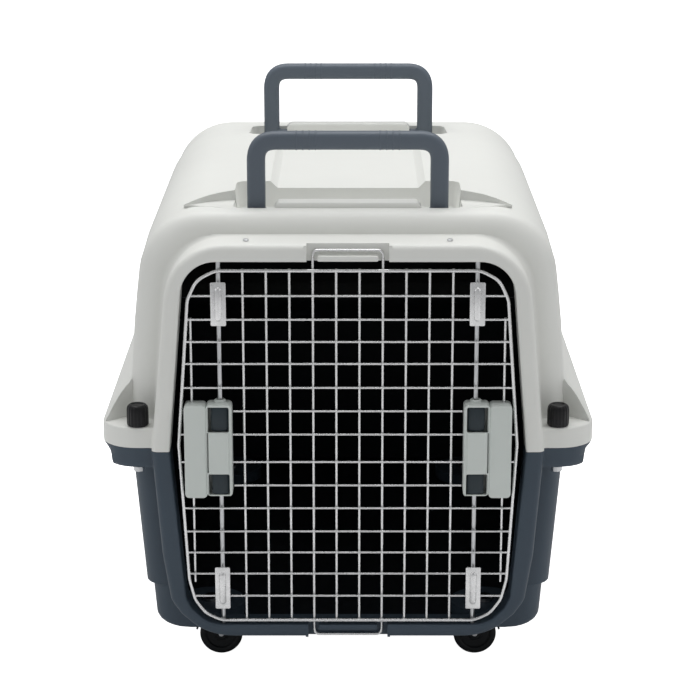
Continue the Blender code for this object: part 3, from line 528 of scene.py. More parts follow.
def shell_spec(direction):
    joint = JOINT_Z + direction * JOINT_GAP
    if direction > 0:
        plain = (joint, 280.0, 288.0, 293.0, 296.0, 300.0, 306.0, 312.0,
                 318.0, 323.0, 328.0, 332.0, 336.0, 340.0, 400.0, 430.0)
        front = ((joint, 1.0), (280.0, 1.0), (292.0, 1.0), (293.4, 0.985), (SHELF_Z, 0.955), (SHELF_Z, 0.5),
                 (SHELF_Z, 0.07), (294.6, 0.03), (296.5, 0.0), (303.0, 0.0), (312.0, 0.0), (322.0, 0.0),
                 (332.0, 0.0), (340.0, 0.0), (400.0, 0.0), (430.0, 0.0))
        side = ((joint, 1.0), (280.0, 1.0), (290.0, 1.0), (292.5, 0.99), (295.0, 0.955), (300.0, 0.86),
                (306.0, 0.75), (312.0, 0.63), (318.0, 0.51), (323.0, 0.39), (328.0, 0.25), (332.0, 0.12),
                (336.0, 0.035), (340.0, 0.0), (400.0, 0.0), (430.0, 0.0))
        body = dict(half_width=243.0, slope=0.0218, curve=0.00029, end_z=ROOF_Z, corner=75.0)
        return {"direction": 1, "joint": joint, "opening": Outline(1, 194.0, 0.084, 0.0, 483.0, 38.0),
                "band": Outline(1, 214.0, 0.0994, 0.0, 502.0, 65.0), "body": body, "end_inset": 22.0,
                "roll_end_y": ROLL_TOP_Y, "plain": plain, "front_rim": front, "side_rim": side,
                "arc_steps": 12, "end_xs": (100.0, 50.0)}
    plain = (joint, 267.0, 263.0, 259.0, 255.0, 251.5, 249.0, 247.6, 246.8, 244.0, 238.0, 150.0, 99.0, 97.0,
             95.0, 92.0, 80.0, 66.0)
    front_q = (1.0, 0.985, 0.97, 0.955, 0.945, 0.93, 0.91, 0.88, 0.10, 0.03, 0.0) + (0.0,) * 7
    side_q = (1.0, 0.95, 0.86, 0.70, 0.50, 0.37, 0.31, 0.27, 0.06, 0.02, 0.0) + (0.0,) * 7
    body = dict(half_width=243.0, slope=0.082, curve=0.0, end_z=FLOOR_Z, corner=14.0, step=7.0, step_z=96.0)
    return {"direction": -1, "joint": joint, "opening": Outline(-1, 194.0, 0.066, 0.0001, 68.4, 43.0),
            "band": Outline(-1, 214.0, 0.078, 0.0, 53.6, 75.0), "body": body, "end_inset": 0.0,
            "roll_end_y": ROLL_SIDE, "plain": plain, "front_rim": tuple(zip(plain, front_q)),
            "side_rim": tuple(zip(plain, side_q)), "arc_steps": 8, "end_xs": (100.0, 50.0)}


def interpolate(table, value):
    xs, ys = zip(*table)
    return float(np.interp(value, xs, ys))


def toward(start, end, distance):
    dx, dz = end[0] - start[0], end[1] - start[1]
    length = math.hypot(dx, dz) or 1.0
    return start[0] + dx * distance / length, start[1] + dz * distance / length


def surround_rows(spec, first_body_row):
    """Rows of the door surround: inner lip, flat band, rounded outer edge, and the hollow at its base."""
    outer = half_outline(spec["band"], spec["plain"], spec["arc_steps"], spec["end_xs"])
    fine = half_outline(spec["opening"], (spec["joint"],), 40, (0.0,))
    inner = [nearest_on(fine, p) for p in outer]
    inner[0] = (spec["opening"].at_z(spec["joint"]), spec["joint"])
    ends = len(spec["end_xs"])
    inner[-ends:] = [(x, spec["opening"].end_z) for x in spec["end_xs"]]
    rows = [[(x, LIP_END_Y, z) for x, z in inner]]
    for turn in (0.0, 30.0, 60.0, 90.0):
        s, c = sin_cos(turn)
        moved = [toward(i, o, LIP_RADIUS * (1 - c)) for i, o in zip(inner, outer)]
        rows.append([(x, FRONT_Y + LIP_RADIUS * (1 - s), z) for x, z in moved])
    for turn in (0.0, 20.0, 45.0, 70.0, 90.0):
        s, c = sin_cos(turn)
        moved = [toward(o, i, BAND_RADIUS * (1 - s)) for i, o in zip(inner, outer)]
        rows.append([(x, FRONT_Y + BAND_RADIUS * (1 - c), z) for x, z in moved])
    levels = spec["front_rim"]
    for turn in (0.0, 30.0, 60.0, 90.0):
        s, c = sin_cos(turn)
        row = []
        for i, (x, z) in enumerate(outer):
            q = levels[i][1] if i < len(levels) else 0.0
            if i < len(levels):
                x, z = spec["band"].at_z(levels[i][0]), levels[i][0]
            target = (first_body_row[i][0], first_body_row[i][2])
            gap = math.hypot(target[0] - x, target[1] - z)
            depth = BASE_RADIUS * (1 - q) + 3.0 * q
            x, z = toward((x, z), target, min(0.9 * gap, depth) * (1 - c))
            y = FACE_Y + q * (RIM_FRONT_Y - FACE_Y) - depth * (1 - s)
            row.append((x, y, z))
        rows.append(row)
    return rows


def body_row(spec, angle, y_side, y_end, rim, levels):
    inset = 1.0 - math.sin(math.radians(angle))
    body = dict(spec["body"])
    if spec["direction"] > 0:
        body["end_z"] = interpolate(ROOF_HEIGHTS, y_end)
    outline = Outline(spec["direction"], inset=(ROLL_SIDE * inset, spec["end_inset"] * inset), **body)
    half = half_outline(outline, [z for z, _ in levels], spec["arc_steps"], spec["end_xs"])
    last_side = len(levels) - 1
    arc_count = len(half) - len(levels) - len(spec["end_xs"])
    row = []
    for i, (x, z) in enumerate(half):
        if i <= last_side:
            q = levels[i][1]
            row.append((x + q * (rim[0] - x), y_side + q * (rim[1] - y_side), z))
            continue
        blend = min((i - last_side) / max(arc_count, 1), 1.0)
        row.append((x, y_side + blend * (y_end - y_side), z))
    return row


def body_rows(spec):
    rows = []
    end_roll = spec["roll_end_y"]
    lower = spec["direction"] < 0
    for angle in LOWER_ANGLES if lower else FRONT_ANGLES:
        s, c = sin_cos(angle)
        rim = (RIM_HALF_WIDTH - RIM_CORNER * (1 - s), RIM_FRONT_Y + RIM_CORNER * (1 - c))
        on_shelf = FRONT_SHELF[0] < angle < FRONT_SHELF[1]
        levels = spec["front_rim"] if on_shelf or spec["direction"] < 0 and angle < 60 else spec["side_rim"]
        ys = FACE_Y + ROLL_SIDE * (1 - c), FACE_Y + end_roll * (1 - c)
        rows.append(body_row(spec, angle, *ys, rim, levels))
    for y in (-252.0, -235.0, -215.0, -195.0, -100.0, 0.0, 100.0, 160.0, 200.0, 235.0, 260.0):
        rows.append(body_row(spec, 90.0, y, y, (RIM_HALF_WIDTH, y), spec["side_rim"]))
    for angle in reversed(LOWER_ANGLES) if lower else REAR_ANGLES:
        s, c = sin_cos(angle)
        rim = (RIM_HALF_WIDTH - RIM_CORNER * (1 - s), RIM_REAR_Y - RIM_CORNER * (1 - c))
        on_shelf = REAR_SHELF[0] < angle < REAR_SHELF[1] and spec["direction"] > 0
        levels = spec["front_rim"] if on_shelf else spec["side_rim"]
        ys = REAR_Y - ROLL_SIDE * (1 - c), REAR_Y - end_roll * (1 - c)
        rows.append(body_row(spec, angle, *ys, rim, levels))
    return rows


def shell_surface(spec):
    """The outer surface as points and quads, with the indices of the points on the joint plane."""
    body = body_rows(spec)
    rows = surround_rows(spec, body[0]) + body
    half = len(rows[0])
    columns = 2 * half
    points, faces, joint = [], [], []
    for row in rows:
        joint.extend((len(points), len(points) + columns - 1))
        points.extend(row)
        points.extend((-x, y, z) for x, y, z in reversed(row))
    for r in range(len(rows) - 1):
        for c in range(columns - 1):
            a, b = r * columns + c, (r + 1) * columns + c
            faces.append((a, a + 1, b + 1, b))
    base = (len(rows) - 1) * columns
    ends = len(spec["end_xs"])
    side_count = half - ends
    widest = rows[-1][side_count - 1][0]
    fractions = [1.0] + [x / widest for x in spec["end_xs"]]
    fractions += [-f for f in reversed(fractions)]
    grid = []
    for j in range(side_count - 1):
        x, y, z = rows[-1][j]
        line = [base + j]
        for f in fractions[1:-1]:
            line.append(len(points))
            points.append((x * f, y, z))
        line.append(base + columns - 1 - j)
        if j == 0:
            joint.extend(line)
        grid.append(line)
    top = [base + side_count - 1 + i for i in range(ends + 1)]
    top += [base + columns - 1 - (side_count - 1 + i) for i in range(ends, -1, -1)]
    grid.append(top)
    for lower, upper in zip(grid, grid[1:]):
        for i in range(2 * ends + 1):
            faces.append((lower[i], upper[i], upper[i + 1], lower[i + 1]))
    return np.array(points, float), faces, set(joint)


def thicken(points, faces, joint, wall):
    """Gives the surface a wall on its inner side, level at the joint plane."""
    normals = {}
    for face in faces:
        p = points[list(face)]
        normal = np.cross(p[2] - p[0], p[3] - p[1])
        length = np.linalg.norm(normal)
        if length > 1e-9:
            for i in face:
                normals.setdefault(i, []).append(normal / length)
    inner = points.copy()
    for i, around in normals.items():
        stack = np.array(around)
        if i in joint:
            stack[:, 2] = 0.0
            stack /= np.linalg.norm(stack, axis=1)[:, None]
        inner[i] -= np.linalg.pinv(stack, rcond=0.3) @ np.full(len(stack), wall)
    count = len(points)
    edges = {(a, b) for face in faces for a, b in zip(face, face[1:] + face[:1])}
    closed = list(faces)
    closed += [(b, a, count + a, count + b) for a, b in edges if (b, a) not in edges]
    inner_from = len(closed)
    closed += [tuple(count + i for i in reversed(face)) for face in faces]
    return [tuple(p) for p in np.vstack([points, inner])], closed, inner_from


def shell_object(name, direction, finish, painted_shade_finish):
    points, faces, joint = shell_surface(shell_spec(direction))
    centre = points.mean(axis=0)
    volume = sum(float(np.dot(points[f[0]] - centre, np.cross(points[f[1]] - centre, points[f[2]] - centre)))
                 for f in faces)
    if volume < 0:
        faces = [tuple(reversed(f)) for f in faces]
    points, faces, inner_from = thicken(points, faces, joint, WALL)
    # The second finish goes on the inside faces and is painted shade.
    return mesh_object(name, (points, faces), [finish, painted_shade_finish], inner_from)


# --- shell details


def corner_spots():
    for end, (x, y) in (("front", KNOB_FRONT), ("rear", KNOB_REAR)):
        for side, sign in (("left", -1), ("right", 1)):
            yield f"{end}_{side}", sign * x, y


def caster_spots():
    for end, sy in (("front", -1), ("rear", 1)):
        for side, sx in (("left", -1), ("right", 1)):
            yield f"{end}_{side}", sx * CASTER_X, sy * CASTER_Y, sx


def notch_steps(edge_z, outer_z):
    """The pocket behind a pull loop: its lining, the step back, and the block that the loop sits round."""
    low, high = sorted((edge_z, outer_z))
    inward = 1.0 if edge_z < outer_z else -1.0
    lining = box((-NOTCH_HALF - 3, FRONT_Y + 0.6, low + 0.6), (NOTCH_HALF + 3, NOTCH_Y + WALL, high - 0.6))
    gap = slab((-NOTCH_HALF, NOTCH_HALF, low - 12.0, high + 12.0), 3.0, NOTCH_Y, FRONT_Y - 6.0, 0.0, "y")
    zs = sorted((edge_z + inward * 0.4, edge_z + inward * 6.6))
    block = slab((-NOTCH_BLOCK_HALF, NOTCH_BLOCK_HALF, *zs), 1.8, NOTCH_BLOCK_Y, NOTCH_Y + 1.0, 1.0, "y")
    return [("UNION", lining), ("DIFFERENCE", gap), ("UNION", block)]


def roof_at(y):
    return interpolate(ROOF_HEIGHTS, y)


def recess_outline(extra, ys, panel_y):
    """Outline of a handle recess, with added points where the panel and the finger scoops meet it."""
    x, y0, y1 = RECESS_HALF + extra, ys[0] - extra, ys[1] + extra
    back = y1 if panel_y > ys[0] + 1.0 else y0
    corner = 12.0 + extra
    arc = [(math.cos(t), math.sin(t)) for t in (math.pi / 2 * i / 6 for i in range(7))]
    rear = [(x - corner + corner * c, y1 - corner + corner * s) for c, s in reversed(arc)]
    front = [(x - corner + corner * c, y0 + corner - corner * s) for c, s in arc]
    side = [(x, y) for y in ((SCOOP_Y + 0.1, SCOOP_Y - 0.1) if back == y1 else ())]
    half = [(px, y1) for px in ((PANEL_FLOOR_HALF, PANEL_TOP_HALF) if back == y1 else ())] + rear + side + front
    half += [(px, y0) for px in ((PANEL_TOP_HALF, PANEL_FLOOR_HALF) if back == y0 else ())]
    return half + [(-px, py) for px, py in reversed(half)]


def recess_rim(x, y, panel_y):
    """Height of a recess's rim: the roof, the panel's floor or the floor of a scoop."""
    z = roof_at(y)
    if abs(y - panel_y) < 4.0 and abs(x) < 88.1:
        return min(z, PANEL_FLOOR_Z - 0.1 + max(abs(x) - PANEL_FLOOR_HALF, 0.0))
    if y < SCOOP_Y and abs(x) > RECESS_HALF - 13.0:
        return min(z, interpolate(((SCOOP_FRONT_Y, 523.9), (SCOOP_Y, 521.4)), y))
    return z


def recess_tub(ys, panel_y):
    """The handle recess as a thin cup that hangs from the roof."""
    rings = []
    floor = RECESS_FLOOR_Z
    for extra, z, rim in ((-7.0, floor, 0), (-4.2, floor + 0.5, 0), (-3.0, floor + 2.0, 0), (0.0, -0.1, 1),
                          (WALL, -0.7, 1), (-1.5, floor, 0), (-4.0, floor - WALL, 0)):
        outline = recess_outline(extra, ys, panel_y)
        rings.append([(x, y, recess_rim(x, y, panel_y) + z if rim else z) for x, y in outline])
    return stack(rings)


def stack(rings):
    """Closed solid through rings of points."""
    count = len(rings[0])
    _, faces = loft([(i, [(0.0, 0.0)] * count) for i in range(len(rings))], "z")
    return [p for ring in rings for p in ring], faces


def scoop_outline(extra, sign):
    """Outline of a finger scoop: a curved upright wall, then a straight side open to the recess."""
    (ax, ay), (tx, ty), (fx, fy) = (RECESS_HALF, SCOOP_Y), SCOOP_TIP, (RECESS_HALF, SCOOP_FRONT_Y)
    wall = []
    for i in range(11):
        t = i / 10
        bow = 6.0 * math.sin(math.pi * t) + extra
        wall.append((ax + (tx - ax) * t + bow * 0.65, ay + (ty - ay) * t + bow * 0.75))
    wall += [(fx, fy - extra), (fx - 0.4, fy - extra), (ax - 0.4, ay + extra)]
    return [(sign * x, y) for x, y in wall]


def scoop_floor(x, y):
    along = abs(x) - RECESS_HALF + max(SCOOP_Y - y, 0.0) * 0.3
    return interpolate(((0.0, 521.6), (40.0, 523.2), (56.0, 524.2)), along)


def scoop_cup(sign):
    rings = []
    for extra, lift, rim in ((-1.0, 0.0, 0), (0.0, 0.6, 0), (0.0, -0.1, 1), (WALL, -0.7, 1),
                             (WALL, -WALL, 0)):
        ring = [(x, y, (roof_at(y) if rim else scoop_floor(x, y)) + lift)
                for x, y in scoop_outline(extra, sign)]
        for i in (-1, -2):
            x, y, _ = ring[i]
            ring[i] = (x, y, scoop_floor(x, y) + (lift if not rim else 0.05))
        rings.append(ring)
    return stack(rings)


def roof_cuts():
    """Spaces cut through the roof for the recesses, the panel and the scoops."""
    front, rear = RECESS_YS, tuple(sorted(MIRROR_SUM_Y - y for y in RECESS_YS))
    reach = (495.0, ROOF_Z + 20.0)
    outlines = [rounded_rect(-88.3, 88.3, front[1] - 6.0, rear[0] + 6.0, 0.5),
                recess_outline(SKIN_CUT_GAP, rear, rear[0]),
                recess_outline(SKIN_CUT_GAP, front, front[1])]
    cuts = [loft([(z, outline) for z in reach], "z") for outline in outlines]
    scoops = [loft([(z, scoop_outline(SKIN_CUT_GAP, sign)) for z in reach], "z") for sign in (-1, 1)]
    return cuts + [merge(scoops)]


def roof_inserts():
    """Cups, panel tray and blocks that fill the cut spaces."""
    front, rear = RECESS_YS, tuple(sorted(MIRROR_SUM_Y - y for y in RECESS_YS))
    shapes = [recess_tub(front, front[1]), recess_tub(rear, rear[0])]
    tray = [(-90.0, ROOF_Z - 0.5), (-88.0, ROOF_Z - 0.1), (-80.6, 525.6), (-79.0, PANEL_FLOOR_Z),
            (79.0, PANEL_FLOOR_Z), (80.6, 525.6), (88.0, ROOF_Z - 0.1), (90.0, ROOF_Z - 0.5),
            (81.0, PANEL_FLOOR_Z - WALL), (-81.0, PANEL_FLOOR_Z - WALL)]
    shapes.append(loft([(y, tray) for y in (front[1] + 0.2, rear[0] - 0.2)], "y"))
    shapes += [scoop_cup(sign) for sign in (-1, 1)]
    for ys, crest in ((BLOCK_YS, 531.5), (tuple(sorted(MIRROR_SUM_Y - y for y in BLOCK_YS)), 530.5)):
        half = BLOCK_HALF
        shapes.append(loft([(z, rounded_rect(-half + i, half - i, ys[0] + j, ys[1] - j, 1.5)) for z, i, j in (
            (RECESS_FLOOR_Z - 1.0, 0.0, 0.0), (crest - 5.0, 0.0, 0.0), (crest - 1.6, 3.0, 0.3),
            (crest - 0.4, 4.2, 1.0), (crest, 5.4, 2.2))], "z"))
    return merge(shapes)


def vent_shapes():
    shapes = []
    for sign in (-1, 1):
        for i in range(8):
            y = (i - 3.5) * VENT_PITCH
            ranges = (y - VENT_WIDTH / 2, y + VENT_WIDTH / 2, *SIDE_VENT_ZS)
            shapes.append(slab(ranges, 4.0, *sorted((sign * 220.0, sign * 254.0)), 0.0, "x"))
    for i in range(5):
        x = (i - 2) * VENT_PITCH
        ranges = (x - VENT_WIDTH / 2, x + VENT_WIDTH / 2, *REAR_VENT_ZS)
        shapes.append(slab(ranges, 4.0, REAR_Y - 12.0, REAR_Y + 8.0, 0.0, "y"))
    return merge(shapes)


def bolt_holes():
    return merge([cylinder(3.3, (x, y), 235.0, 305.0, "z", 16) for _, x, y in corner_spots()])


def build_upper_shell(finishes):
    # Its inside faces take the painted shade finish.
    shell = shell_object("upper_shell_skin", 1, finishes["off_white"], finishes["inner"])
    steps = notch_steps(483.0, 502.0) + [("DIFFERENCE", cut) for cut in roof_cuts()]
    steps.append(("DIFFERENCE", vent_shapes()))
    steps.append(("DIFFERENCE", bolt_holes()))
    rods = merge([cylinder(3.4, (s * ROD_X, ROD_Y), 478.0, 494.0, "z", 16) for s in (-1, 1)])
    steps.append(("DIFFERENCE", rods))
    screws = merge([cylinder(1.8, (s * 109.0, -312.5), 495.0, 508.0, "z", 12) for s in (-1, 1)])
    steps.append(("DIFFERENCE", screws))
    pins = merge([cylinder(5.4, (y, PIVOT_Z), s * 70.0, s * 88.0, "x", 20)
                  for y in (HANDLE_Y, MIRROR_SUM_Y - HANDLE_Y) for s in (-1, 1)])
    steps.append(("DIFFERENCE", pins))
    carve(shell, steps)
    soften(shell, 0.8)
    attach(shell, "upper_shell", ("upper_shell",), 42.0)
    make("roof_inserts", roof_inserts(), finishes["off_white"], "upper_shell", (), 42.0)


def build_lower_shell(finishes):
    # Its inside faces take the painted shade finish.
    shell = shell_object("lower_shell_skin", -1, finishes["slate"], finishes["slate_painted_shade_inner"])
    steps = notch_steps(68.4, 53.6)
    spots = list(caster_spots())
    caps = merge([cylinder(WELL_R + WALL, (x, y), FLOOR_Z + 1.2, WELL_TOP_Z + WALL, "z", 40)
                  for _, x, y, _ in spots])
    wells = merge([cylinder(WELL_R, (x, y), 40.0, WELL_TOP_Z, "z", 40) for _, x, y, _ in spots])
    stems = merge([cylinder(9.3, (x, y), 55.0, 70.0, "z", 20) for _, x, y, _ in spots])
    steps += [("UNION", caps), ("DIFFERENCE", wells), ("DIFFERENCE", stems), ("DIFFERENCE", bolt_holes())]
    rods = merge([cylinder(3.4, (s * ROD_X, ROD_Y), 60.5, 75.0, "z", 16) for s in (-1, 1)])
    steps.append(("DIFFERENCE", rods))
    carve(shell, steps)
    soften(shell, 0.8)
    attach(shell, "lower_shell", ("lower_shell",), 42.0)


# --- door


def frame_half_width(z):
    for (xa, za), (xb, zb) in zip(FRAME_POINTS, FRAME_POINTS[1:]):
        if zb <= z <= za:
            return xa + (xb - xa) * (za - z) / (za - zb)
    return FRAME_POINTS[0][0]


def wire(path, radius, up, closed=False, sides=10):
    return sweep(path, circle(radius, sides), up, closed)


def build_door(finishes):
    """Frame, uprights with their pull loops, cross wires, and the small spot welds where wires cross."""
    right = [(x, FRAME_Y, z) for x, z in FRAME_POINTS]
    ring = round_corners(right + [(-x, y, z) for x, y, z in reversed(right)], 26.0, 6, closed=True)
    shapes = [wire(ring, FRAME_R, (0, 1, 0), closed=True, sides=14)]
    for x in (s * x for x in UPRIGHT_XS for s in (-1, 1)):
        shapes.append(wire([(x, UPRIGHT_Y, FRAME_BOTTOM_Z - 1.5), (x, UPRIGHT_Y, FRAME_TOP_Z + 1.5)],
                           UPRIGHT_R, (0, 1, 0)))
    for x in (-STUB_X, STUB_X):
        shapes.append(wire([(x, UPRIGHT_Y, STUB_ZS[0]), (x, UPRIGHT_Y, STUB_ZS[1])], UPRIGHT_R, (0, 1, 0)))
    loop = [(LOOP_X, UPRIGHT_Y, LOOP_TOP_Z), (-LOOP_X, UPRIGHT_Y, LOOP_TOP_Z),
            (-LOOP_X, UPRIGHT_Y, LOOP_BOTTOM_Z), (LOOP_X, UPRIGHT_Y, LOOP_BOTTOM_Z)]
    shapes.append(wire(round_corners(loop, 6.5, 6, closed=True), UPRIGHT_R, (0, 1, 0), closed=True))
    rows = [(z, frame_half_width(z)) for z in CROSS_ZS] + [(z, SHORT_CROSS_HALF) for z in SHORT_CROSS_ZS]
    weld = [(0.0, -0.55), (1.1, -0.35), (1.5, 0.0), (1.1, 0.35), (0.0, 0.55)]
    for z, reach in rows:
        shapes.append(wire([(-reach, CROSS_Y, z), (reach, CROSS_Y, z)], CROSS_R, (0, 1, 0)))
        for x in (s * x for x in (12.5, 37.5, 62.5, 87.5, 112.5) for s in (-1, 1)):
            shapes.append(lathe(weld, (x, (CROSS_Y + UPRIGHT_Y) / 2 - 0.15, z), "y", 8))
    make("door_wires", merge(shapes), finishes["zinc_wire"], "door", ("door_grid",), 60.0)


def build_guides(finishes):
    """Pressed plates with a half-round channel that holds each rod."""
    for side, sign in (("left", -1), ("right", 1)):
        for end, (low, high) in GUIDE_ZS.items():
            x = sign * ROD_X
            plate = slab((x - 8.3, x + 8.3, low, high), 1.6, -332.3, -330.7, 0.5, "y")
            channel = []
            for z, scale in ((low + 5.0, 0.05), (low + 5.8, 0.55), (low + 7.2, 0.85), (low + 9.0, 1.0),
                             (high - 9.0, 1.0), (high - 7.2, 0.85), (high - 5.8, 0.55), (high - 5.0, 0.05)):
                channel.append((z, [(x + 3.9 * scale * math.cos(t), -332.0 + 2.9 * scale * math.sin(t))
                                    for t in (math.tau * i / 20 for i in range(20))]))
            eye_low, eye_high = (425.0, 439.0) if end == "upper" else (108.0, 121.0)
            walls = [box((x + a, -331.0, eye_low), (x + a + 1.6, -320.0, eye_high)) for a in (-5.0, 3.4)]
            walls.append(box((x - 5.0, -320.6, eye_low), (x + 5.0, -319.4, eye_high)))
            make(f"guide_plate_{end}_{side}", merge([plate, loft(channel, "z")] + walls), finishes["zinc_wire"],
                 "door", (f"rod_guide_{end}_{side}",))


def build_latch(side, sign, finishes):
    """The latch housing with its two windows, middle cover and outer plate, and the two finger buttons."""
    housing = mesh_object(f"latch_housing_{side}",
                          mirror(slab((125.3, 153.4, 223.0, 327.0), 4.5, -341.8, -319.4, 1.4, "y", 1.0), sign),
                          [finishes["latch_white"]])
    cavity = mirror(box((127.6, -340.2, 224.4), (151.2, -321.0, 325.2)), sign)
    groove = mirror(box((150.9, -344.0, 250.0), (152.5, -337.5, 296.0)), sign)
    windows = [mirror(slab((128.4, 152.2, *zs), 2.2, -346.0, -339.0, 0.0, "y"), sign)
               for zs in ((296.4, 324.8), (220.0, 248.8))]
    rod_holes = mirror(cylinder(3.1, (ROD_X, ROD_Y), 215.0, 340.0, "z", 20), sign)
    carve(housing, [("DIFFERENCE", shape) for shape in (cavity, merge(windows), rod_holes, groove)])
    soften(housing, 0.5)
    attach(housing, "door", (f"latch_cover_{side}", f"latch_back_{side}"), 40.0)
    plate = slab((153.0, 177.2, 221.0, 326.2), 4.5, -341.4, -319.4, 1.6, "y", 1.0)
    make(f"latch_plate_{side}", mirror(plate, sign), finishes["latch_white"], "door")
    middle = slab((128.6, 150.8, 248.9, 296.3), 1.6, -343.0, -339.6, 1.1, "y")
    collar = lathe([(3.3, 326.0), (6.4, 326.0), (6.4, 328.4), (5.4, 329.4), (3.3, 329.4)],
                   (sign * ROD_X, ROD_Y - 1.0, 0.0), "z", 28)
    front = merge([mirror(middle, sign), collar])
    make(f"latch_middle_{side}", front, finishes["latch_white"], "door")
    for end, s in (("upper", 1), ("lower", -1)):
        build_button(end, side, sign, s, finishes)


def build_button(end, side, sign, s, finishes):
    """A crowned finger button: a broad rounded pad with a lip, on a thin slide."""
    x = sign * ROD_X
    low, high = sorted((LATCH_Z + s * 20.0, LATCH_Z + (47.6 if s > 0 else -52.0)))
    sections = []
    for z, inset in ((low, 1.2), (low + 0.5, 0.5), (low + 1.4, 0.0), (high - 1.4, 0.0), (high - 0.5, 0.5),
                     (high, 1.2)):
        outline = []
        for i in range(13):
            t = i / 12
            a = -9.3 + inset + (18.6 - 2 * inset) * t
            outline.append((x + a, -337.2 - 1.7 * math.sin(math.pi * t) ** 0.6 + 0.5 * inset))
        outline += [(x + 9.3 - inset, -335.6), (x - 9.3 + inset, -335.6)]
        sections.append((z, outline))
    lug_low, lug_high = sorted((LATCH_Z + s * 35.0, LATCH_Z + s * 47.4))
    lug = box((x - 4.0, -336.6, lug_low), (x + 4.0, -321.2, lug_high))
    make(f"button_{end}_{side}", merge([loft(sections, "z"), lug]), finishes["button"],
         f"bolt_{end}_{side}", (f"latch_button_{end}_{side}",))


# --- handles, knobs, casters


def handle_section():
    """Rounded bar with a fine parting groove along its outer side."""
    outline = rounded_rect(-10.0, 10.0, -8.5, 8.5, 6.0, 5)
    made = []
    for a, b in outline:
        made.append((a, b))
        if a <= -9.99 and b > 0:
            made += [(-10.0, 1.9), (-9.2, 1.5), (-9.2, 0.9), (-10.0, 0.5)]
    return made


def build_handle(name, y, finishes):
    middle_z = HANDLE_TOP_Z - 10.0
    corners = [(HANDLE_HALF, y, PIVOT_Z - 7.4), (HANDLE_HALF, y, middle_z), (-HANDLE_HALF, y, middle_z),
               (-HANDLE_HALF, y, PIVOT_Z - 7.4)]
    path = [np.array(corners[0]) + np.array((0.0, 0.0, d)) for d in (0.0, 0.6, 1.8, 3.6)]
    scales = [0.72, 0.86, 0.95, 1.0]
    arc = round_corners(corners, 22.0, 10)[1:-1]
    right, left = arc[:11], arc[11:]
    path += right
    scales += [1.0] * 11
    for sign in (1, -1):
        ticks = (56.0, 49.0, 42.0, 35.0)
        for x in (ticks if sign > 0 else reversed(ticks)):
            for d, scale in ((0.9, 1.0), (0.45, 1.035), (-0.45, 1.035), (-0.9, 1.0)):
                path.append(np.array((sign * x + d, y, middle_z)))
                scales.append(scale)
    path += left
    scales += [1.0] * 11
    path += [np.array(corners[-1]) + np.array((0.0, 0.0, d)) for d in (3.6, 1.8, 0.6, 0.0)]
    scales += [1.0, 0.95, 0.86, 0.72]
    shapes = [sweep(path, handle_section(), (0, 1, 0), scales=scales)]
    for s in (-1, 1):
        pin = [(0.0, s * 71.5), (4.4, s * 71.5), (5.0, s * 72.2), (5.0, s * 88.0), (6.4, s * 89.4),
               (6.4, s * 91.0),
               (0.0, s * 91.0)]
        shapes.append(lathe(pin, (0.0, y, PIVOT_Z), "x", 24))
    make(f"{name}_grip", merge(shapes), finishes["handle_grey"], name, (name,), 30.0)


def build_knob(suffix, x, y, finishes):
    """Black cap nut with moulded flutes and a dished top."""
    low = SHELF_Z + 0.3
    top = low + KNOB_HEIGHT

    def flutes(radius, turn):
        grip = max(0.0, min(1.0, (radius - 9.5) / 2.0))
        return radius - 0.55 * grip * (0.5 - 0.5 * math.cos(18 * turn))

    profile = [(0.0, top - 5.0), (3.3, top - 5.0), (3.3, low), (10.4, low), (11.4, low + 0.8),
               (12.0, low + 2.0),
               (12.0, top - 6.5), (11.5, top - 3.0), (10.2, top - 1.0), (8.4, top), (6.8, top - 0.2),
               (6.2, top - 1.0), (0.0, top - 1.0)]
    make(f"knob_{suffix}_cap", lathe(profile, (x, y, 0.0), "z", 144, flutes), finishes["black"],
         f"knob_{suffix}", (f"corner_knob_{suffix}",), 50.0)


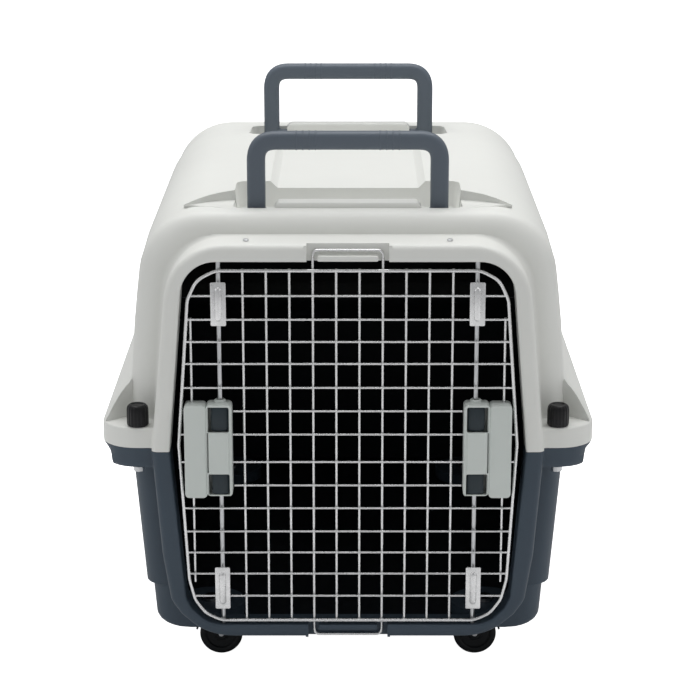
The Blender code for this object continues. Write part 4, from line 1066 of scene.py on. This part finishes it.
def build_caster(suffix, x, y, sx, finishes):
    """Twin wheels with grooved treads and dished hubs under an arched fork."""
    wheel_x = x - sx * CASTER_TRAIL
    for label, s in (("a", -1), ("b", 1)):
        profile = [(3.35, s * 3.3), (22.8, s * 3.3), (24.1, s * 4.2), (24.5, s * 5.4), (24.5, s * 9.0),
                   (24.1, s * 9.4), (24.1, s * 10.0), (24.5, s * 10.4), (24.5, s * 13.4), (24.1, s * 14.8),
                   (22.8, s * 15.7), (19.0, s * 16.0), (17.6, s * 15.2), (16.8, s * 13.6), (9.0, s * 13.2),
                   (8.0, s * 14.8), (6.6, s * 15.6), (3.35, s * 15.6)]
        tread = lathe(profile, (wheel_x, y, WHEEL_R), "y", 64)
        make(f"wheel_{suffix}_{label}_tread", tread, finishes["wheel_black"],
             f"wheel_{suffix}", (f"caster_wheel_{suffix}_{label}",), 40.0)
    turns = [math.radians(12.0 + 156.0 * i / 28) for i in range(29)]
    sections = []
    for dy, inset in ((-17.0, 0.6), (-16.6, 0.15), (-16.0, 0.0), (16.0, 0.0), (16.6, 0.15), (17.0, 0.6)):
        arc = [(wheel_x + (29.4 - inset) * math.cos(t), WHEEL_R + (29.4 - inset) * math.sin(t)) for t in turns]
        arc += [(wheel_x + (27.2 + inset * 0.5) * math.cos(t), WHEEL_R + (27.2 + inset * 0.5) * math.sin(t))
                for t in reversed(turns)]
        sections.append((y + dy, arc))
    fender = loft(sections, "y")
    web_top = [(wheel_x + 9.0 * math.cos(t), WHEEL_R + 9.0 * math.sin(t))
               for t in (math.radians(180 + 15 * i) for i in range(13))]
    web = loft([(y + dy, web_top + [(wheel_x + 9.0, 52.4), (wheel_x - 9.0, 52.4)]) for dy in (-2.5, 2.5)], "y")
    stem = lathe([(0.0, 50.5), (5.0, 50.5), (5.0, 64.6), (7.0, 64.6), (7.0, 66.4), (6.4, 67.0), (0.0, 67.0)],
                 (x, y, 0.0), "z", 32)
    fork = mesh_object(f"fork_{suffix}_body", fender, [finishes["black"]])
    bore = cylinder(3.4, (wheel_x, WHEEL_R), y - 6.0, y + 6.0, "y", 24)
    carve(fork, [("UNION", web), ("UNION", stem), ("DIFFERENCE", bore)])
    attach(fork, f"caster_{suffix}", (f"caster_fork_{suffix}",))


def paint_frame(frame, finishes):
    """Procedural finishes on the CAD nodes that stay: rods, springs, bolts, axles, sockets and screws."""
    for node in frame["nodes"].values():
        if node.hide_render:
            continue
        for i in range(len(node.material_slots)):
            node.material_slots[i].material = finishes["steel"]


# --- camera, floor and light


def build_camera():
    data = bpy.data.cameras.new("camera")
    data.lens = 113.1
    data.sensor_width = 36.0
    data.clip_end = 50.0
    camera = bpy.data.objects.new("camera", data)
    camera.location = (2.3 * MM, -2602.0 * MM, 1031.0 * MM)
    camera.rotation_euler = (math.radians(90.0 - 15.85), 0.0, 0.0)
    bpy.context.scene.collection.objects.link(camera)
    bpy.context.scene.camera = camera


def area_light(name, location, target, size, power):
    data = bpy.data.lights.new(name, "AREA")
    data.shape = "RECTANGLE"
    data.size, data.size_y = size
    data.energy = power
    light = bpy.data.objects.new(name, data)
    light.location = location
    light.rotation_mode = "QUATERNION"
    light.rotation_quaternion = (Vector(target) - Vector(location)).to_track_quat("-Z", "Y")
    bpy.context.scene.collection.objects.link(light)


def build_studio():
    floor = mesh_object("floor", ([(-9000, -9000, 0), (9000, -9000, 0), (9000, 9000, 0), (-9000, 9000, 0)],
                                  [(0, 1, 2, 3)]), [])
    paper = moulded_plastic("studio_floor", (0.90, 0.90, 0.90), 0.7, 300.0, 0.02, 0.005)
    shader = paper.node_tree.nodes["Principled BSDF"]
    shader.inputs["Emission Color"].default_value = (1.0, 1.0, 1.0, 1.0)
    glow = paper.node_tree.nodes.new("ShaderNodeLightPath")
    paper.node_tree.links.new(glow.outputs["Is Camera Ray"], shader.inputs["Emission Strength"])
    floor.data.materials.append(paper)
    floor.location.z = -0.0004
    world = bpy.data.worlds.new("studio")
    world.use_nodes = True
    nodes, links = world.node_tree.nodes, world.node_tree.links
    light = nodes["Background"]
    light.inputs["Color"].default_value = (0.97, 0.98, 1.0, 1.0)
    light.inputs["Strength"].default_value = 0.42
    backdrop = nodes.new("ShaderNodeBackground")
    backdrop.inputs["Color"].default_value = (1.0, 1.0, 1.0, 1.0)
    rays = nodes.new("ShaderNodeLightPath")
    mix = nodes.new("ShaderNodeMixShader")
    links.new(rays.outputs["Is Camera Ray"], mix.inputs["Fac"])
    links.new(light.outputs["Background"], mix.inputs[1])
    links.new(backdrop.outputs["Background"], mix.inputs[2])
    links.new(mix.outputs["Shader"], nodes["World Output"].inputs["Surface"])
    bpy.context.scene.world = world
    bpy.context.scene.view_settings.view_transform = "Standard"
    area_light("top_light", (0.0, 0.5, 3.2), (0.0, 0.0, 0.3), (3.2, 2.6), 78.0)
    area_light("left_light", (-2.6, -1.4, 1.7), (0.0, 0.0, 0.3), (1.6, 1.6), 8.0)
    area_light("right_light", (2.6, -1.4, 1.7), (0.0, 0.0, 0.3), (1.6, 1.6), 8.0)


def main():
    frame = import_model()
    finishes = make_finishes()
    build_camera()
    build_upper_shell(finishes)
    build_lower_shell(finishes)
    build_door(finishes)
    build_guides(finishes)
    for side, sign in (("left", -1), ("right", 1)):
        build_latch(side, sign, finishes)
    build_handle("handle_front", HANDLE_Y, finishes)
    build_handle("handle_rear", MIRROR_SUM_Y - HANDLE_Y, finishes)
    for suffix, x, y in corner_spots():
        build_knob(suffix, x, y, finishes)
    for suffix, x, y, sx in caster_spots():
        build_caster(suffix, x, y, sx, finishes)
    paint_frame(frame, finishes)
    build_studio()


main()
